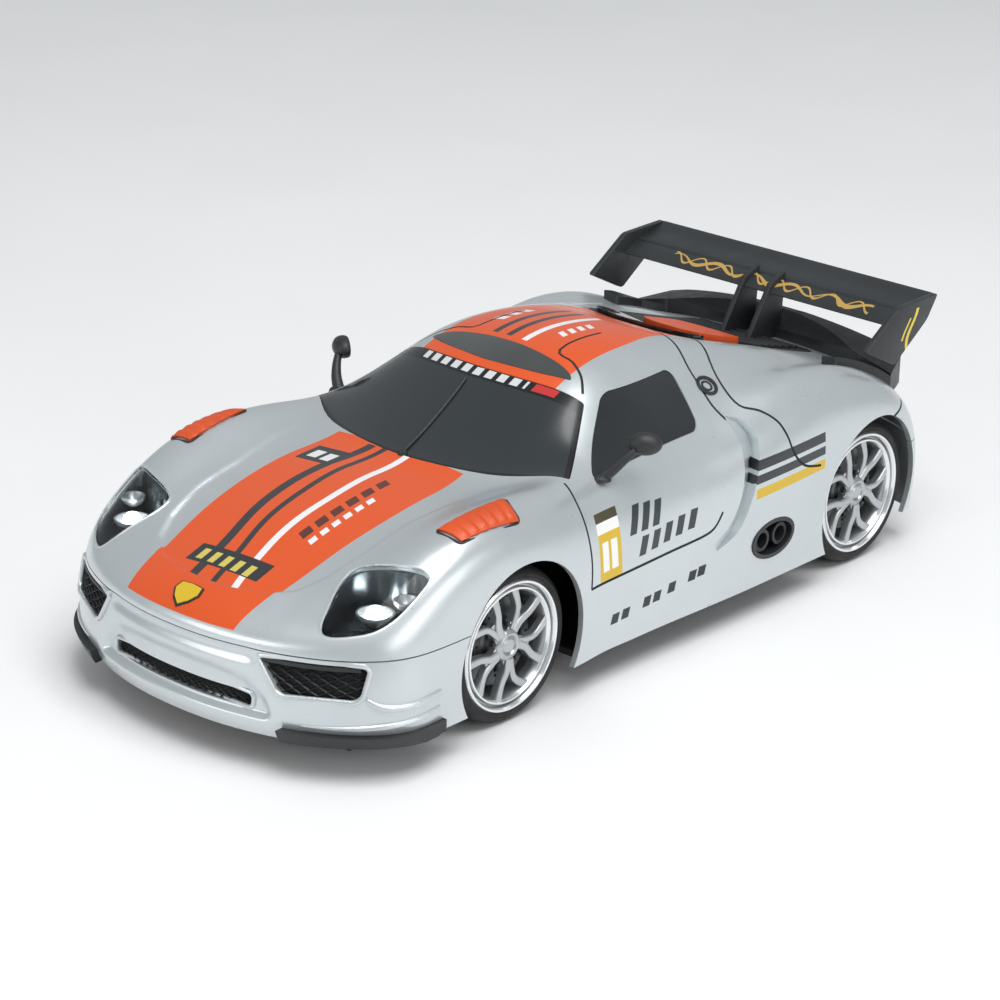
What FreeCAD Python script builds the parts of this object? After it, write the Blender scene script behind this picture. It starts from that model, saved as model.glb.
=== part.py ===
import FreeCAD, Part
import math
import os

from FreeCAD import Placement, Rotation, Vector

# A 1:16 radio-controlled sports car, in millimetres.
# +X is the nose, +Y the car's left side, +Z up. The origin is on the floor, under the middle
# of the car's length. The painted skin is one smooth spline surface over a control net; every
# cover that follows it (bumpers, windows, lamps, grilles, trim) is cut from the same skin.

doc = FreeCAD.newDocument("rc_car")
dims = doc.addObject("Spreadsheet::Sheet", "dims")

SIZES = [
    # name, value, what it is
    ("front_axle", 64, "x of the front axle"),
    ("rear_axle_x", -97, "x of the rear axle"),
    ("axle_height", 22.5, "height of both axles"),
    ("wheel_side", 50.5, "y of the middle of each wheel"),
    ("tyre_radius", 22.5, "tyre outer radius"),
    ("tyre_width", 14, "tyre width"),
    ("rim_radius", 19, "rim flange radius"),
    ("bead_radius", 18, "radius that the tyre sits on"),
    ("barrel_radius", 16.4, "inside radius of the rim's barrel"),
    ("shaft_radius", 1.5, "steel axle and kingpin radius"),
    ("run_gap", 0.05, "radial clearance of a turning shaft"),
    ("skin_wall", 1.8, "wall of the painted body"),
    ("skin_bottom", 10, "height of the body's bottom edge"),
    ("seam", 0.3, "gap between neighbouring body panels"),
    ("arch_radius", 25.6, "wheel arch radius"),
    ("pan_bottom", 8, "height of the chassis underside"),
    ("pan_wall", 2, "chassis floor thickness"),
    ("kingpin_side", 39.5, "y of each kingpin"),
    ("steer_arm", 12, "kingpin to tie rod pin"),
    ("steer_reach", 20, "steering angle each way, degrees"),
    ("tooth_size", 0.6, "gear module"),
    ("axle_teeth", 30, "teeth on the rear axle gear"),
    ("small_teeth", 12, "teeth on the compound gear's small wheel"),
    ("large_teeth", 32, "teeth on the compound gear's large wheel"),
    ("pinion_teeth", 10, "teeth on the motor pinion"),
    ("motor_radius", 10, "motor can radius"),
    ("motor_length", 25, "motor can length"),
    ("cell_radius", 7, "battery cell radius"),
    ("cell_length", 50, "battery cell length"),
    ("wing_half", 53, "half the wing blade's span"),
    ("plate_wall", 2, "wing end plate thickness"),
]
for row, (name, value, note) in enumerate(SIZES, start=1):
    dims.set(f"A{row}", note)
    dims.set(f"B{row}", str(value))
    dims.setAlias(f"B{row}", name)
doc.recompute()


def size(name):
    return float(dims.get(name))


SIDES = (("left", 1), ("right", -1))
LABELS = []


# ---------------------------------------------------------------- building blocks
def bind(thing, prop, value):
    """Give a property a plain number, or an expression on the sheet when value is text."""
    if isinstance(value, str):
        thing.setExpression(prop, value)
    else:
        setattr(thing, prop, value)


def put(thing, at, turn=None):
    """Place a thing at (x, y, z), each a number or an expression."""
    numbers = [0 if isinstance(c, str) else c for c in at]
    thing.Placement = Placement(Vector(*numbers), turn or Rotation())
    for axis, value in zip("xyz", at):
        if isinstance(value, str):
            thing.setExpression(f"Placement.Base.{axis}", value)
    return thing


def box(name, low, extent):
    thing = doc.addObject("Part::Box", name)
    for prop, value in zip(("Length", "Width", "Height"), extent):
        bind(thing, prop, value)
    return put(thing, low)


UPRIGHT = Rotation()
ALONG_Y = Rotation(Vector(1, 0, 0), -90)
ALONG_X = Rotation(Vector(0, 1, 0), 90)


def rod(name, start, radius, length, turn=UPRIGHT):
    thing = doc.addObject("Part::Cylinder", name)
    bind(thing, "Radius", radius)
    bind(thing, "Height", length)
    return put(thing, start, turn)


def fuse(name, *shapes):
    thing = doc.addObject("Part::MultiFuse", name)
    thing.Shapes = list(shapes)
    return thing


def cut(name, base, *tools):
    thing = doc.addObject("Part::Cut", name)
    thing.Base = base
    thing.Tool = tools[0] if len(tools) == 1 else fuse(name + "_tools", *tools)
    return thing


def mirrored(name, source):
    thing = doc.addObject("Part::Mirroring", name)
    thing.Source = source
    thing.Normal = Vector(0, 1, 0)
    return thing


def node(label, thing):
    """Mark a finished sub-part: its label is its file's name."""
    thing.Label = label
    LABELS.append(thing)
    return thing


def made(label, shape):
    """A sub-part whose shape comes from Part's own functions."""
    thing = doc.addObject("Part::Feature", label)
    thing.Shape = shape
    return node(label, thing)


def sketch_in(body, plane, outline):
    """A closed sketch of straight runs on one of the body's own origin planes."""
    sketch = body.newObject("Sketcher::SketchObject", body.Name + "_sketch")
    origin_plane = [f for f in body.Origin.OriginFeatures if f.Role == plane][0]
    sketch.AttachmentSupport = [(origin_plane, "")]
    sketch.MapMode = "FlatFace"
    corners = [Vector(a, b, 0) for a, b in outline]
    for first, second in zip(corners, corners[1:] + corners[:1]):
        sketch.addGeometry(Part.LineSegment(first, second), False)
    return sketch


def padded(name, plane, outline, length):
    """A PartDesign body: one closed outline padded by length."""
    body = doc.addObject("PartDesign::Body", name)
    sketch = sketch_in(body, plane, outline)
    pad = body.newObject("PartDesign::Pad", name + "_pad")
    pad.Profile = sketch
    bind(pad, "Length", length)
    return body


def turned(name, profile):
    """A PartDesign body of revolution about Y: the profile is (radius, y) points."""
    body = doc.addObject("PartDesign::Body", name)
    sketch = sketch_in(body, "XY_Plane", profile)
    spun = body.newObject("PartDesign::Revolution", name + "_spun")
    spun.Profile = sketch
    spun.ReferenceAxis = (sketch, ["V_Axis"])
    spun.Angle = 360
    return body


# ---------------------------------------------------------------- the painted skin
# The control net's left half: rows run from under the nose, over the roof, to under the tail;
# each row runs from the centre line out and down to the sill.
NET = [
    # nose bottom edge
    [(136, 0, 10), (135.5, 13, 10), (133, 26, 10), (129, 38, 10), (122, 50, 10),
     (112, 59.5, 10), (104, 61.5, 10), (100, 61.5, 10), (97, 61, 10)],
    # bumper bottom
    [(138.5, 0, 15), (138, 13, 15), (135.5, 26, 15), (131.5, 38.5, 15), (124.5, 52, 15),
     (114, 62, 15), (104, 63, 14), (99, 62, 12.5), (96, 61.5, 10)],
    # bumper channel
    [(137, 0, 25), (136.5, 13, 25), (134, 26, 25), (130, 38.5, 25), (124, 52, 25),
     (113, 62, 25), (102, 63.5, 22), (96, 62.5, 16), (92, 61.5, 10)],
    # bumper top
    [(137, 0, 33), (136.5, 13, 33), (133.5, 26, 33), (129.5, 38, 33), (123, 50.5, 33),
     (112, 61, 33.5), (100, 63, 28), (91, 61.5, 19), (86, 61.5, 10)],
    # nose edge
    [(137.5, 0, 37.5), (137, 13, 37.5), (134, 26, 37.5), (129, 38, 38), (122, 49.5, 39),
     (110, 60.5, 40), (96, 63, 34), (84, 61.5, 21), (79, 61.5, 10)],
    # hood lip
    [(129, 0, 43.5), (128.5, 13, 43.5), (125.5, 26, 42.5), (121.5, 38, 42.5), (115, 49, 45),
     (104, 60, 47), (89, 63, 39), (76, 61.5, 23), (71, 61.5, 10)],
    # hood front
    [(114, 0, 48.3), (113.5, 13, 47.9), (112, 27, 47.4), (109, 38, 48.8), (104, 49, 52),
     (94, 60, 54), (80, 63, 43), (69, 61.5, 25), (64, 61.5, 10)],
    # hood, ahead of the wheels
    [(97, 0, 53.6), (96.5, 13, 53.2), (95, 28, 52.6), (94, 39, 55), (91, 49.5, 59.5),
     (83, 60, 58), (72, 63, 45), (64, 61.5, 26), (59, 61.5, 10)],
    # hood, over the front axle
    [(80, 0, 57), (80, 14, 56.8), (79, 29, 56), (78, 40, 58.3), (76, 49.5, 63),
     (71, 60, 59.5), (64, 63, 46), (57, 61.5, 26), (53, 61.5, 10)],
    # hood, behind the wheels
    [(64, 0, 59.2), (64, 14, 59), (63, 30, 58.2), (62, 40.5, 60), (60, 50, 64),
     (57, 59.5, 58.5), (53, 63, 45), (48, 61.5, 26), (44, 61, 10)],
    # windscreen foot
    [(52, 0, 58.6), (51.5, 15, 58.4), (49, 31, 58), (47, 41, 59), (46, 50, 63),
     (45, 58.5, 56), (42, 62, 43), (38, 61, 25), (35, 60.5, 10)],
    # windscreen low
    [(41, 0, 63.5), (40, 15, 63.5), (36.5, 31, 62), (34, 41.5, 60.5), (33, 49.5, 60.5),
     (33, 56.5, 53.5), (32, 60, 40.5), (29, 60, 24.5), (27, 59.5, 10)],
    # windscreen middle
    [(26, 0, 71.5), (25, 15, 71), (22, 31, 69.5), (20, 42.5, 64.5), (19, 50.5, 59),
     (19, 56.5, 52), (19, 59.5, 39.5), (17, 60, 24), (16, 60, 10)],
    # windscreen top
    [(12, 0, 79.4), (11.5, 15, 78.8), (9, 30.5, 76.3), (7, 42, 67), (6, 51, 58.5),
     (6, 57, 51), (6, 59.5, 39), (5, 60, 24), (4, 60, 10)],
    # roof front
    [(-4, 0, 84), (-4, 14, 83.3), (-5, 29.5, 80.4), (-6, 40.5, 70), (-7, 50.5, 58.5),
     (-7, 57, 51), (-7, 59.5, 39.5), (-7, 60, 24), (-7, 60.5, 10)],
    # roof peak
    [(-22, 0, 83.5), (-22, 14, 82.8), (-22, 29, 79.8), (-22, 40, 70), (-22, 50.5, 59.5),
     (-22, 57.5, 52.5), (-22, 60.5, 41), (-21, 61, 25), (-20, 61, 10)],
    # roof rear
    [(-42, 0, 79), (-42, 14, 78.8), (-41, 29, 77.5), (-40, 40.5, 69), (-40, 50.5, 63),
     (-39, 59, 56.5), (-38, 62, 45), (-36, 62, 27), (-34, 61.5, 10)],
    # deck front
    [(-60, 0, 70.5), (-60, 14, 70.5), (-59, 29, 74.5), (-58, 41, 66), (-58, 51, 68.5),
     (-57, 60, 60), (-56, 63, 48), (-54, 62.5, 29), (-52, 61.5, 10)],
    # deck, ahead of the wheels
    [(-78, 0, 63.5), (-78, 14, 63.5), (-77, 29, 70), (-77, 41, 63), (-76, 51, 69),
     (-76, 60.5, 61), (-75, 63, 49), (-73, 62.5, 29), (-71, 61.5, 10)],
    # deck, over the rear axle
    [(-96, 0, 58.5), (-96, 14, 58.5), (-95, 29, 63), (-95, 41, 59.5), (-94, 51, 65),
     (-93, 60.5, 59), (-92, 63, 48), (-90, 62.5, 29), (-88, 61.5, 10)],
    # deck rear
    [(-113, 0, 56), (-113, 14, 55.5), (-112, 29, 56), (-111, 41, 55), (-109, 51, 57.5),
     (-107, 60, 53), (-105, 62, 45), (-103, 61.5, 29), (-101, 60.5, 10)],
    # tail edge
    [(-127, 0, 54.5), (-127, 14, 54), (-126, 29, 52.5), (-124, 41, 51), (-121, 51, 49.5),
     (-118, 58.5, 46), (-116, 60.5, 40), (-114, 60, 27), (-110, 59.5, 10)],
    # tail upper
    [(-136, 0, 48), (-136, 14, 47.5), (-134.5, 29, 46), (-132, 41, 44.5), (-128, 51, 42.5),
     (-124, 57.5, 39), (-121, 59.5, 34), (-119, 59.5, 24), (-115, 59, 10)],
    # tail middle
    [(-138.5, 0, 34), (-138, 14, 34), (-136.5, 29, 34), (-134, 41, 34), (-130, 51, 33),
     (-126, 57.5, 31), (-124, 59, 27), (-122, 59, 20), (-119, 58.5, 10)],
    # tail lower
    [(-137, 0, 20), (-136.5, 14, 20), (-135, 29, 20), (-132.5, 41, 20), (-129.5, 50.5, 20),
     (-126.5, 56.5, 19), (-125, 58, 17), (-124, 58, 14), (-122, 58, 10)],
    # tail bottom edge
    [(-133, 0, 10), (-133, 14, 10), (-132, 28, 10), (-130, 40, 10), (-128.5, 48, 10),
     (-127, 54, 10), (-126, 56, 10), (-125, 57, 10), (-124, 57.5, 10)],
]


def full_net():
    """Mirror the half net, so that each row runs from the right sill to the left sill."""
    rows = []
    for row in NET:
        right = [Vector(x, -y, z) for x, y, z in reversed(row[1:])]
        rows.append(right + [Vector(*point) for point in row])
    return rows


def moved_net(distance, bottom):
    """Move every control point along the net's own normal; the rim is put at height bottom."""
    net = full_net()
    last_row, last_col = len(net) - 1, len(net[0]) - 1
    result = []
    for i, row in enumerate(net):
        line = []
        for j, point in enumerate(row):
            along = net[min(i + 1, last_row)][j] - net[max(i - 1, 0)][j]
            across = row[min(j + 1, last_col)] - row[max(j - 1, 0)]
            normal = across.cross(along).normalize()
            spot = point + normal * distance
            if i in (0, last_row) or j in (0, last_col):
                spot.z = bottom
            line.append(spot)
        result.append(line)
    return result


def clamped(points):
    """Poles of the clamped spline that passes through the end points of a uniform cubic net."""
    first = (points[0] * 2 + points[1]) * (1 / 3)
    last = (points[-2] + points[-1] * 2) * (1 / 3)
    return [points[0], first] + points[1:-1] + [last, points[-1]]


def skin_solid(net):
    """The closed solid under a net: its spline face and a flat bottom."""
    rows = [clamped(row) for row in net]
    poles = [list(column) for column in zip(*[clamped(list(c)) for c in zip(*rows)])]
    counts = [4] + [1] * (len(poles) - 4) + [4], [4] + [1] * (len(poles[0]) - 4) + [4]
    surface = Part.BSplineSurface()
    surface.buildFromPolesMultsKnots(
        poles, counts[0], counts[1], list(range(len(counts[0]))), list(range(len(counts[1]))),
        False, False, 3, 3)
    top = surface.toShape()
    bottom = Part.Face(Part.Wire(Part.sortEdges(top.Edges)[0]))
    shell = Part.Shell([top, bottom])
    shell.sewShape()
    solid = Part.Solid(shell)
    if solid.Volume < 0:
        solid.reverse()
    return solid


WALL = size("skin_wall")
SEAM = size("seam")
FLOOR = size("skin_bottom")
BELOW = FLOOR - 2
BACKING = 1.4

outer = skin_solid(full_net())
inner = skin_solid(moved_net(-WALL, BELOW))
behind = skin_solid(moved_net(-WALL - BACKING, BELOW - 1))
proud = skin_solid(moved_net(1.0, FLOOR))
lip = skin_solid(moved_net(2.6, FLOOR))


def block(low, high):
    span = [b - a for a, b in zip(low, high)]
    return Part.makeBox(*span, Vector(*low))


def both(shape):
    return shape.fuse(shape.mirror(Vector(0, 0, 0), Vector(0, 1, 0)))


def other(shape):
    return shape.mirror(Vector(0, 0, 0), Vector(0, 1, 0))


def prism(wire, direction, grow=0.0):
    """A solid along direction from a flat wire, with its outline grown or shrunk."""
    if grow:
        wire = wire.makeOffset2D(grow)
    return Part.Face(wire).extrude(Vector(*direction))


def loop(points, grow=0.0):
    """A closed smooth wire through points, each moved out from their middle by grow."""
    spots = [Vector(*p) for p in points]
    middle = sum(spots, Vector()) * (1 / len(spots))
    curve = Part.BSplineCurve()
    curve.interpolate([p + (p - middle).normalize() * grow for p in spots], PeriodicFlag=True)
    return Part.Wire(curve.toShape())


def corners(points, radius):
    """A closed wire of straight runs with rounded corners."""
    edges = []
    count = len(points)
    spots = [Vector(*p) for p in points]
    ends = []
    for k in range(count):
        here, before, after = spots[k], spots[k - 1], spots[(k + 1) % count]
        back = (before - here).normalize()
        ahead = (after - here).normalize()
        half = back.getAngle(ahead) / 2
        step = radius / math.tan(half)
        middle = (back + ahead).normalize()
        centre = here + middle * (radius / math.sin(half))
        ends.append((here + back * step, centre - middle * radius, here + ahead * step))
    for k in range(count):
        start, bend, end = ends[k]
        edges.append(Part.Arc(start, bend, end).toShape())
        edges.append(Part.LineSegment(end, ends[(k + 1) % count][0]).toShape())
    return Part.Wire(edges)


# outlines of the openings, on the left side or across the centre line
def windscreen(grow=0.0):
    foot, top = Vector(31.5, 48.6, 50), Vector(8.5, 34, 50)
    right_foot, right_top = Vector(31.5, -48.6, 50), Vector(8.5, -34, 50)
    wire = Part.Wire([
        Part.Arc(right_foot, Vector(50.5, 0, 50), foot).toShape(),
        Part.LineSegment(foot, top).toShape(),
        Part.Arc(top, Vector(15, 0, 50), right_top).toShape(),
        Part.LineSegment(right_top, right_foot).toShape()])
    return prism(wire, (0, 0, 45), grow)


def side_window(grow=0.0):
    points = [(24.5, 20, 58.2), (1.5, 20, 74.2), (-29, 20, 74.2), (-24.6, 20, 60.3)]
    return prism(corners(points, 2.6), (0, 50, 0), grow)


def headlamp(grow=0.0, low=37.0):
    points = [(123.2, 42.5), (117.5, 51.3), (110, 55.8), (100, 57), (96, 55.6),
              (98.6, 48), (101.8, 37.2), (107, 35.2), (115, 37.8)]
    return prism(loop([(x, y, low) for x, y in points], grow), (0, 0, 66 - low))


def side_grille(grow=0.0):
    points = [(100, 28.5, 33), (100, 55, 33), (100, 54.5, 25), (100, 34, 24.5)]
    return prism(corners(points, 1.5), (45, 0, 0), grow)


def centre_slot(grow=0.0):
    points = [(115, -26, 17), (115, 26, 17), (115, 26, 21.4), (115, -26, 21.4)]
    return prism(corners(points, 1.5), (30, 0, 0), grow)


def engine_bay(grow=0.0):
    points = [(-56, -21, 40), (-56, 21, 40), (-117, 24, 40), (-117, -24, 40)]
    return prism(corners(points, 3.0), (0, 0, 50), grow)


def exhaust_oval(grow=0.0):
    edge = Part.Ellipse(Vector(-47, 50, 23.6), 10.2 + grow, 6.2 + grow).toShape()
    edge.rotate(Vector(-47, 50, 23.6), Vector(1, 0, 0), 90)
    return prism(Part.Wire(edge), (0, 20, 0))


def tail_lamp(grow=0.0):
    points = [(-140, 26, 37), (-140, 49, 37), (-140, 49, 42.5), (-140, 26, 42.5)]
    return prism(corners(points, 2.6), (25, 0, 0), grow)


def fender_vent(grow=0.0):
    points = [(84.5, 47.5, 50), (84, 55.5, 50), (63, 57.5, 50), (60.2, 49.5, 50)]
    return prism(corners(points, 1.2), (0, 0, 20), grow)


def arch(axle):
    return Part.makeCylinder(size("arch_radius"), 30, Vector(axle, 44, size("axle_height")),
                             Vector(0, 1, 0))


BUMPER_TOP = 34.3
REAR_BUMPER_TOP = 33.5
front_region = block((60, -80, 5), (150, 80, BUMPER_TOP))
rear_region = block((-150, -80, 5), (-105, 80, REAR_BUMPER_TOP))
front_gap = block((60, -80, BUMPER_TOP), (150, 80, BUMPER_TOP + SEAM))
rear_gap = block((-150, -80, REAR_BUMPER_TOP), (-105, 80, REAR_BUMPER_TOP + SEAM))

skin = outer.cut(inner)
holes = [windscreen(), engine_bay(), centre_slot()]
for opening in (side_window(), headlamp(), side_grille(), exhaust_oval(), tail_lamp(),
                arch(size("front_axle")), arch(size("rear_axle_x"))):
    holes.append(both(opening))
painted = skin
for hole in holes:
    painted = painted.cut(hole)

# four posts carry the body on the chassis floor, each with a screw up its middle
POSTS = [(103, 25), (103, -25), (-116, 30), (-116, -30)]
POST_RADIUS = 3.2
SCREW_RADIUS = 1.2
shell = painted.cut(front_region).cut(rear_region).cut(front_gap).cut(rear_gap)
for x, y in POSTS:
    post = Part.makeCylinder(POST_RADIUS, 60, Vector(x, y, FLOOR)).common(inner)
    shell = shell.fuse(post)
for x, y in POSTS:
    shell = shell.cut(Part.makeCylinder(SCREW_RADIUS, 12, Vector(x, y, FLOOR)))
made("body_shell", shell)


def largest(shape):
    return max(shape.Solids, key=lambda piece: piece.Volume)


made("front_bumper", largest(painted.common(front_region)))
tail_mouth = block((-150, -38, 5), (-115, 38, 16))
made("rear_bumper", largest(painted.common(rear_region).cut(tail_mouth)))
made("windshield", largest(skin.common(windscreen(-SEAM / 2))))
made("engine_cover", largest(skin.common(engine_bay(-SEAM / 2))))
backing = inner.cut(behind)
made("centre_grille", largest(backing.common(centre_slot(1.5))))

glass = largest(skin.common(side_window(-SEAM / 2)))
lens = largest(skin.common(headlamp(-SEAM / 2)))
mesh = largest(backing.common(side_grille(0.9)))
bowl = headlamp(0.9, 34.6).common(inner).cut(headlamp(-0.7, 36.1))
vent = largest(proud.cut(outer).common(fender_vent()))
splitter = largest(lip.cut(outer).common(block((97, 36, 9), (150, 63.5, 14))))
for side, sign in SIDES:
    for label, shape in (("side_window", glass), ("headlamp_lens", lens),
                         ("side_grille", mesh), ("headlamp_bowl", largest(bowl)),
                         ("fender_vent", vent), ("splitter", splitter)):
        made(f"{label}_{side}", shape if sign > 0 else other(shape))

lamp = largest(skin.common(tail_lamp(-SEAM / 2)))
made("tail_lamps", both(lamp))

# light sources stand on the floor of each lamp bowl
led = Part.makeCylinder(2.6, 4, Vector(110, 47, 36.1))
led = led.fuse(Part.makeSphere(2.6, Vector(110, 47, 40.1)))
made("headlamp_leds", both(led))

# a dark lip runs round the tail: low arms along the haunches and a raised kick across the back
ARMS = [(-96, 40), (-96, 46), (-118, 51.5), (-131, 46), (-135.5, 20), (-135.5, -20),
        (-131, -46), (-118, -51.5), (-96, -46), (-96, -40), (-112, -43), (-119, -38),
        (-119, 38), (-112, 43)]
KICK = [(-117.5, 50), (-118.5, 58), (-128, 61.6), (-130.5, 61.4), (-133.5, 54), (-134.5, 46)]
KICK_CROWN = 186.4
KICK_TOP = 61.6
arms_outline = corners([(x, y, 30) for x, y in ARMS], 1.0)
plan = prism(arms_outline, (0, 0, 60))
arms = lip.cut(outer).common(plan)
kick_wire = Part.makePolygon([Vector(x, -52, z) for x, z in KICK + KICK[:1]])
tail_kick = Part.Face(kick_wire).extrude(Vector(0, 104, 0))
crown = Part.makeCylinder(KICK_CROWN, 60, Vector(-150, 0, KICK_TOP - KICK_CROWN), Vector(1, 0, 0))
tail_kick = tail_kick.common(crown).common(plan).cut(outer)
ducktail = arms.fuse(tail_kick).common(block((-150, -80, 47), (0, 80, 90)))
made("ducktail", largest(ducktail))

# round caps on the pillars behind the doors
CAP_AT = Vector(-37, 42.5, 67.5)
CAP_OUT = Vector(-0.12, 0.72, 0.68)
cap = Part.makeCylinder(4.6, 4, CAP_AT - CAP_OUT * 2.6, CAP_OUT).cut(outer)
made("pillar_caps", both(largest(cap)))

# each side exhaust is an oval cup with two pipes
cup = exhaust_oval(-SEAM / 2).common(block((-70, 55, 0), (0, 62.2, 50)))
hollow = exhaust_oval(-1.4).common(block((-70, 57, 0), (0, 70, 50)))
cup = cup.cut(hollow)
for x in (-51.2, -42.8):
    pipe = Part.makeCylinder(3.4, 4, Vector(x, 57, 23.6), Vector(0, 1, 0))
    bore = Part.makeCylinder(2.4, 4, Vector(x, 57.6, 23.6), Vector(0, 1, 0))
    cup = cup.fuse(pipe).cut(bore)
for side, sign in SIDES:
    made(f"side_exhaust_{side}", cup if sign > 0 else other(cup))

# diffuser under the tail: a plate, a back wall and fins that stand in the bumper's mouth
diffuser = block((-131, -37, 8), (-119.2, 37, FLOOR))
diffuser = diffuser.fuse(block((-121.2, -37, FLOOR), (-119.8, 37, 15.6)))
for y in (-30, -18, -6, 6, 18, 30):
    diffuser = diffuser.fuse(block((-132, y - 0.7, 9), (-121, y + 0.7, 15.2)))
made("rear_diffuser", diffuser.removeSplitter())

# ---------------------------------------------------------------- door mirrors
stalk = doc.addObject("Part::Cone", "mirror_stalk")
stalk.Radius1 = 2.0
stalk.Radius2 = 1.5
stalk.Height = 12.5
put(stalk, (20, 51.3, 58.2), Rotation(Vector(0, 0, 1), Vector(-6.4, 5.2, 8.6)))
pod = doc.addObject("Part::Ellipsoid", "mirror_pod")
pod.Radius1 = 3.4
pod.Radius2 = 4.4
pod.Radius3 = 3.8
put(pod, (11.5, 58.4, 68.2))
mirror_whole = fuse("mirror_whole", stalk, pod)
doc.recompute()
mirror_shape = mirror_whole.Shape.cut(outer)
for side, sign in SIDES:
    made(f"mirror_{side}", mirror_shape if sign > 0 else other(mirror_shape))

# ---------------------------------------------------------------- rear wing
upper = Part.BSplineCurve()
upper.interpolate([Vector(x, 0, z) for x, z in (
    (-115, 70.6), (-119.5, 73.4), (-125, 74.6), (-130, 75.6), (-134.5, 77.2))])
under = Part.BSplineCurve()
under.interpolate([Vector(x, 0, z) for x, z in (
    (-134.5, 76), (-128, 73), (-122, 71.2), (-117.5, 70.1), (-115, 70.6))])
rear_edge = Part.LineSegment(Vector(-134.5, 0, 77.2), Vector(-134.5, 0, 76))
section = Part.Face(Part.Wire([upper.toShape(), rear_edge.toShape(), under.toShape()]))
blade = section.extrude(Vector(0, 2 * size("wing_half"), 0))
blade.translate(Vector(0, -size("wing_half"), 0))
made("wing_blade", blade)

END_PLATE = [(-99, 66.5), (-115.5, 77), (-135.6, 77.3), (-130.5, 70), (-114.2, 58.9)]
for side, sign in SIDES:
    plate = padded(f"wing_end_plate_{side}", "XZ_Plane", END_PLATE, "dims.plate_wall")
    # an XZ sketch pads towards -Y
    put(plate, (0, "dims.wing_half + dims.plate_wall" if sign > 0 else "-dims.wing_half", 0))
    node(f"wing_end_plate_{side}", plate)

STRUT = [(-100.5, 50), (-115.5, 73.5), (-123, 76), (-121, 50)]
strut_wire = Part.makePolygon([Vector(x, 4.2, z) for x, z in STRUT + STRUT[:1]])
strut = Part.Face(strut_wire).extrude(Vector(0, 1.8, 0)).cut(outer).cut(tail_kick).cut(blade)
strut = min(strut.Solids, key=lambda piece: abs(piece.CenterOfMass.z - 66))
made("wing_struts", both(strut))

# ---------------------------------------------------------------- wheels
HALF = size("tyre_width") / 2
RIM = size("rim_radius")
BEAD = size("bead_radius")
BARREL = size("barrel_radius")
TYRE = size("tyre_radius")
SHAFT = size("shaft_radius")
GAP = size("run_gap")
RIM_HOLES = 5
RIM_HOLE_RADIUS = 4.0
RIM_HOLE_CIRCLE = 10.8

tyre_profile = [(BEAD, -HALF + 1.4), (RIM + 0.1, -HALF + 1.4), (RIM + 0.1, -HALF + 0.4),
                (TYRE - 1.6, -HALF), (TYRE - 0.4, -HALF + 1.0), (TYRE, -HALF + 2.6),
                (TYRE, HALF - 2.6), (TYRE - 0.4, HALF - 1.0), (TYRE - 1.6, HALF),
                (RIM + 0.1, HALF - 0.4), (RIM + 0.1, HALF - 1.4), (BEAD, HALF - 1.4)]


def rim_profile(bore):
    return [(BARREL, -HALF + 0.3), (RIM, -HALF + 0.3), (RIM, -HALF + 1.3), (BEAD, -HALF + 1.3),
            (BEAD, HALF - 1.3), (RIM, HALF - 1.3), (RIM, HALF - 0.3), (BARREL, HALF - 0.3),
            (BARREL, 4.2), (4.5, 4.2), (4.5, 5.4), (bore, 5.4), (bore, -3.0), (4.5, -3.0),
            (4.5, 1.6), (BARREL, 1.6)]


for end, axle, bore in (("front", "dims.front_axle", SHAFT + GAP),
                        ("rear", "dims.rear_axle_x", SHAFT)):
    for side, sign in SIDES:
        where = (axle, "dims.wheel_side" if sign > 0 else "-dims.wheel_side",
                 "dims.axle_height")
        tyre = turned(f"{end}_tyre_{side}", tyre_profile)
        node(f"{end}_tyre_{side}", put(tyre, where))
        flip = 1 if sign > 0 else -1
        profile = [(radius, flip * y) for radius, y in rim_profile(bore)]
        blank = turned(f"{end}_rim_blank_{side}", profile)
        put(blank, where)
        windows = []
        for k in range(RIM_HOLES):
            angle = 2 * math.pi * k / RIM_HOLES + math.pi / 2
            x = RIM_HOLE_CIRCLE * math.cos(angle)
            z = RIM_HOLE_CIRCLE * math.sin(angle)
            start = (f"{axle} + {x:.4f}", f"{where[1]} - 8", f"dims.axle_height + {z:.4f}")
            windows.append(rod(f"{end}_{side}_window_{k}", start, RIM_HOLE_RADIUS, 16, ALONG_Y))
        node(f"{end}_rim_{side}", cut(f"{end}_rim_{side}", blank, *windows))

# ---------------------------------------------------------------- rear drive
MODULE = size("tooth_size")


def gear_outline(teeth, phase):
    """Involute tooth outline with backlash; phase is the angle of one tooth's middle."""
    pitch = MODULE * teeth / 2
    base = pitch * math.cos(math.radians(20))
    root, tip = pitch - 1.3 * MODULE, pitch + 0.85 * MODULE
    backlash = 0.16
    involute = math.tan(math.radians(20)) - math.radians(20)
    half_at_pitch = math.pi / (2 * teeth) - backlash / (2 * pitch)

    def half(radius):
        if radius <= base:
            return half_at_pitch + involute
        press = math.acos(base / radius)
        return half_at_pitch + involute - (math.tan(press) - press)

    radii = [root, max(base, root + 0.05), (max(base, root) + tip) / 2, tip]
    points = []
    for k in range(teeth):
        middle = phase + 2 * math.pi * k / teeth
        flank = [(r, middle - half(r)) for r in radii]
        flank += [(r, middle + half(r)) for r in reversed(radii)]
        points += [(r * math.cos(a), r * math.sin(a)) for r, a in flank]
    return points


def gear(teeth, phase, low, high, centre_x):
    """A spur gear about Y through the axle height, from y = low to y = high."""
    height = size("axle_height")
    spots = [Vector(centre_x + x, low, height + z) for x, z in gear_outline(teeth, phase)]
    return Part.Face(Part.makePolygon(spots + spots[:1])).extrude(Vector(0, high - low, 0))


def bar_y(radius, low, high, centre_x):
    return Part.makeCylinder(radius, high - low, Vector(centre_x, low, size("axle_height")),
                             Vector(0, 1, 0))


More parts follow.
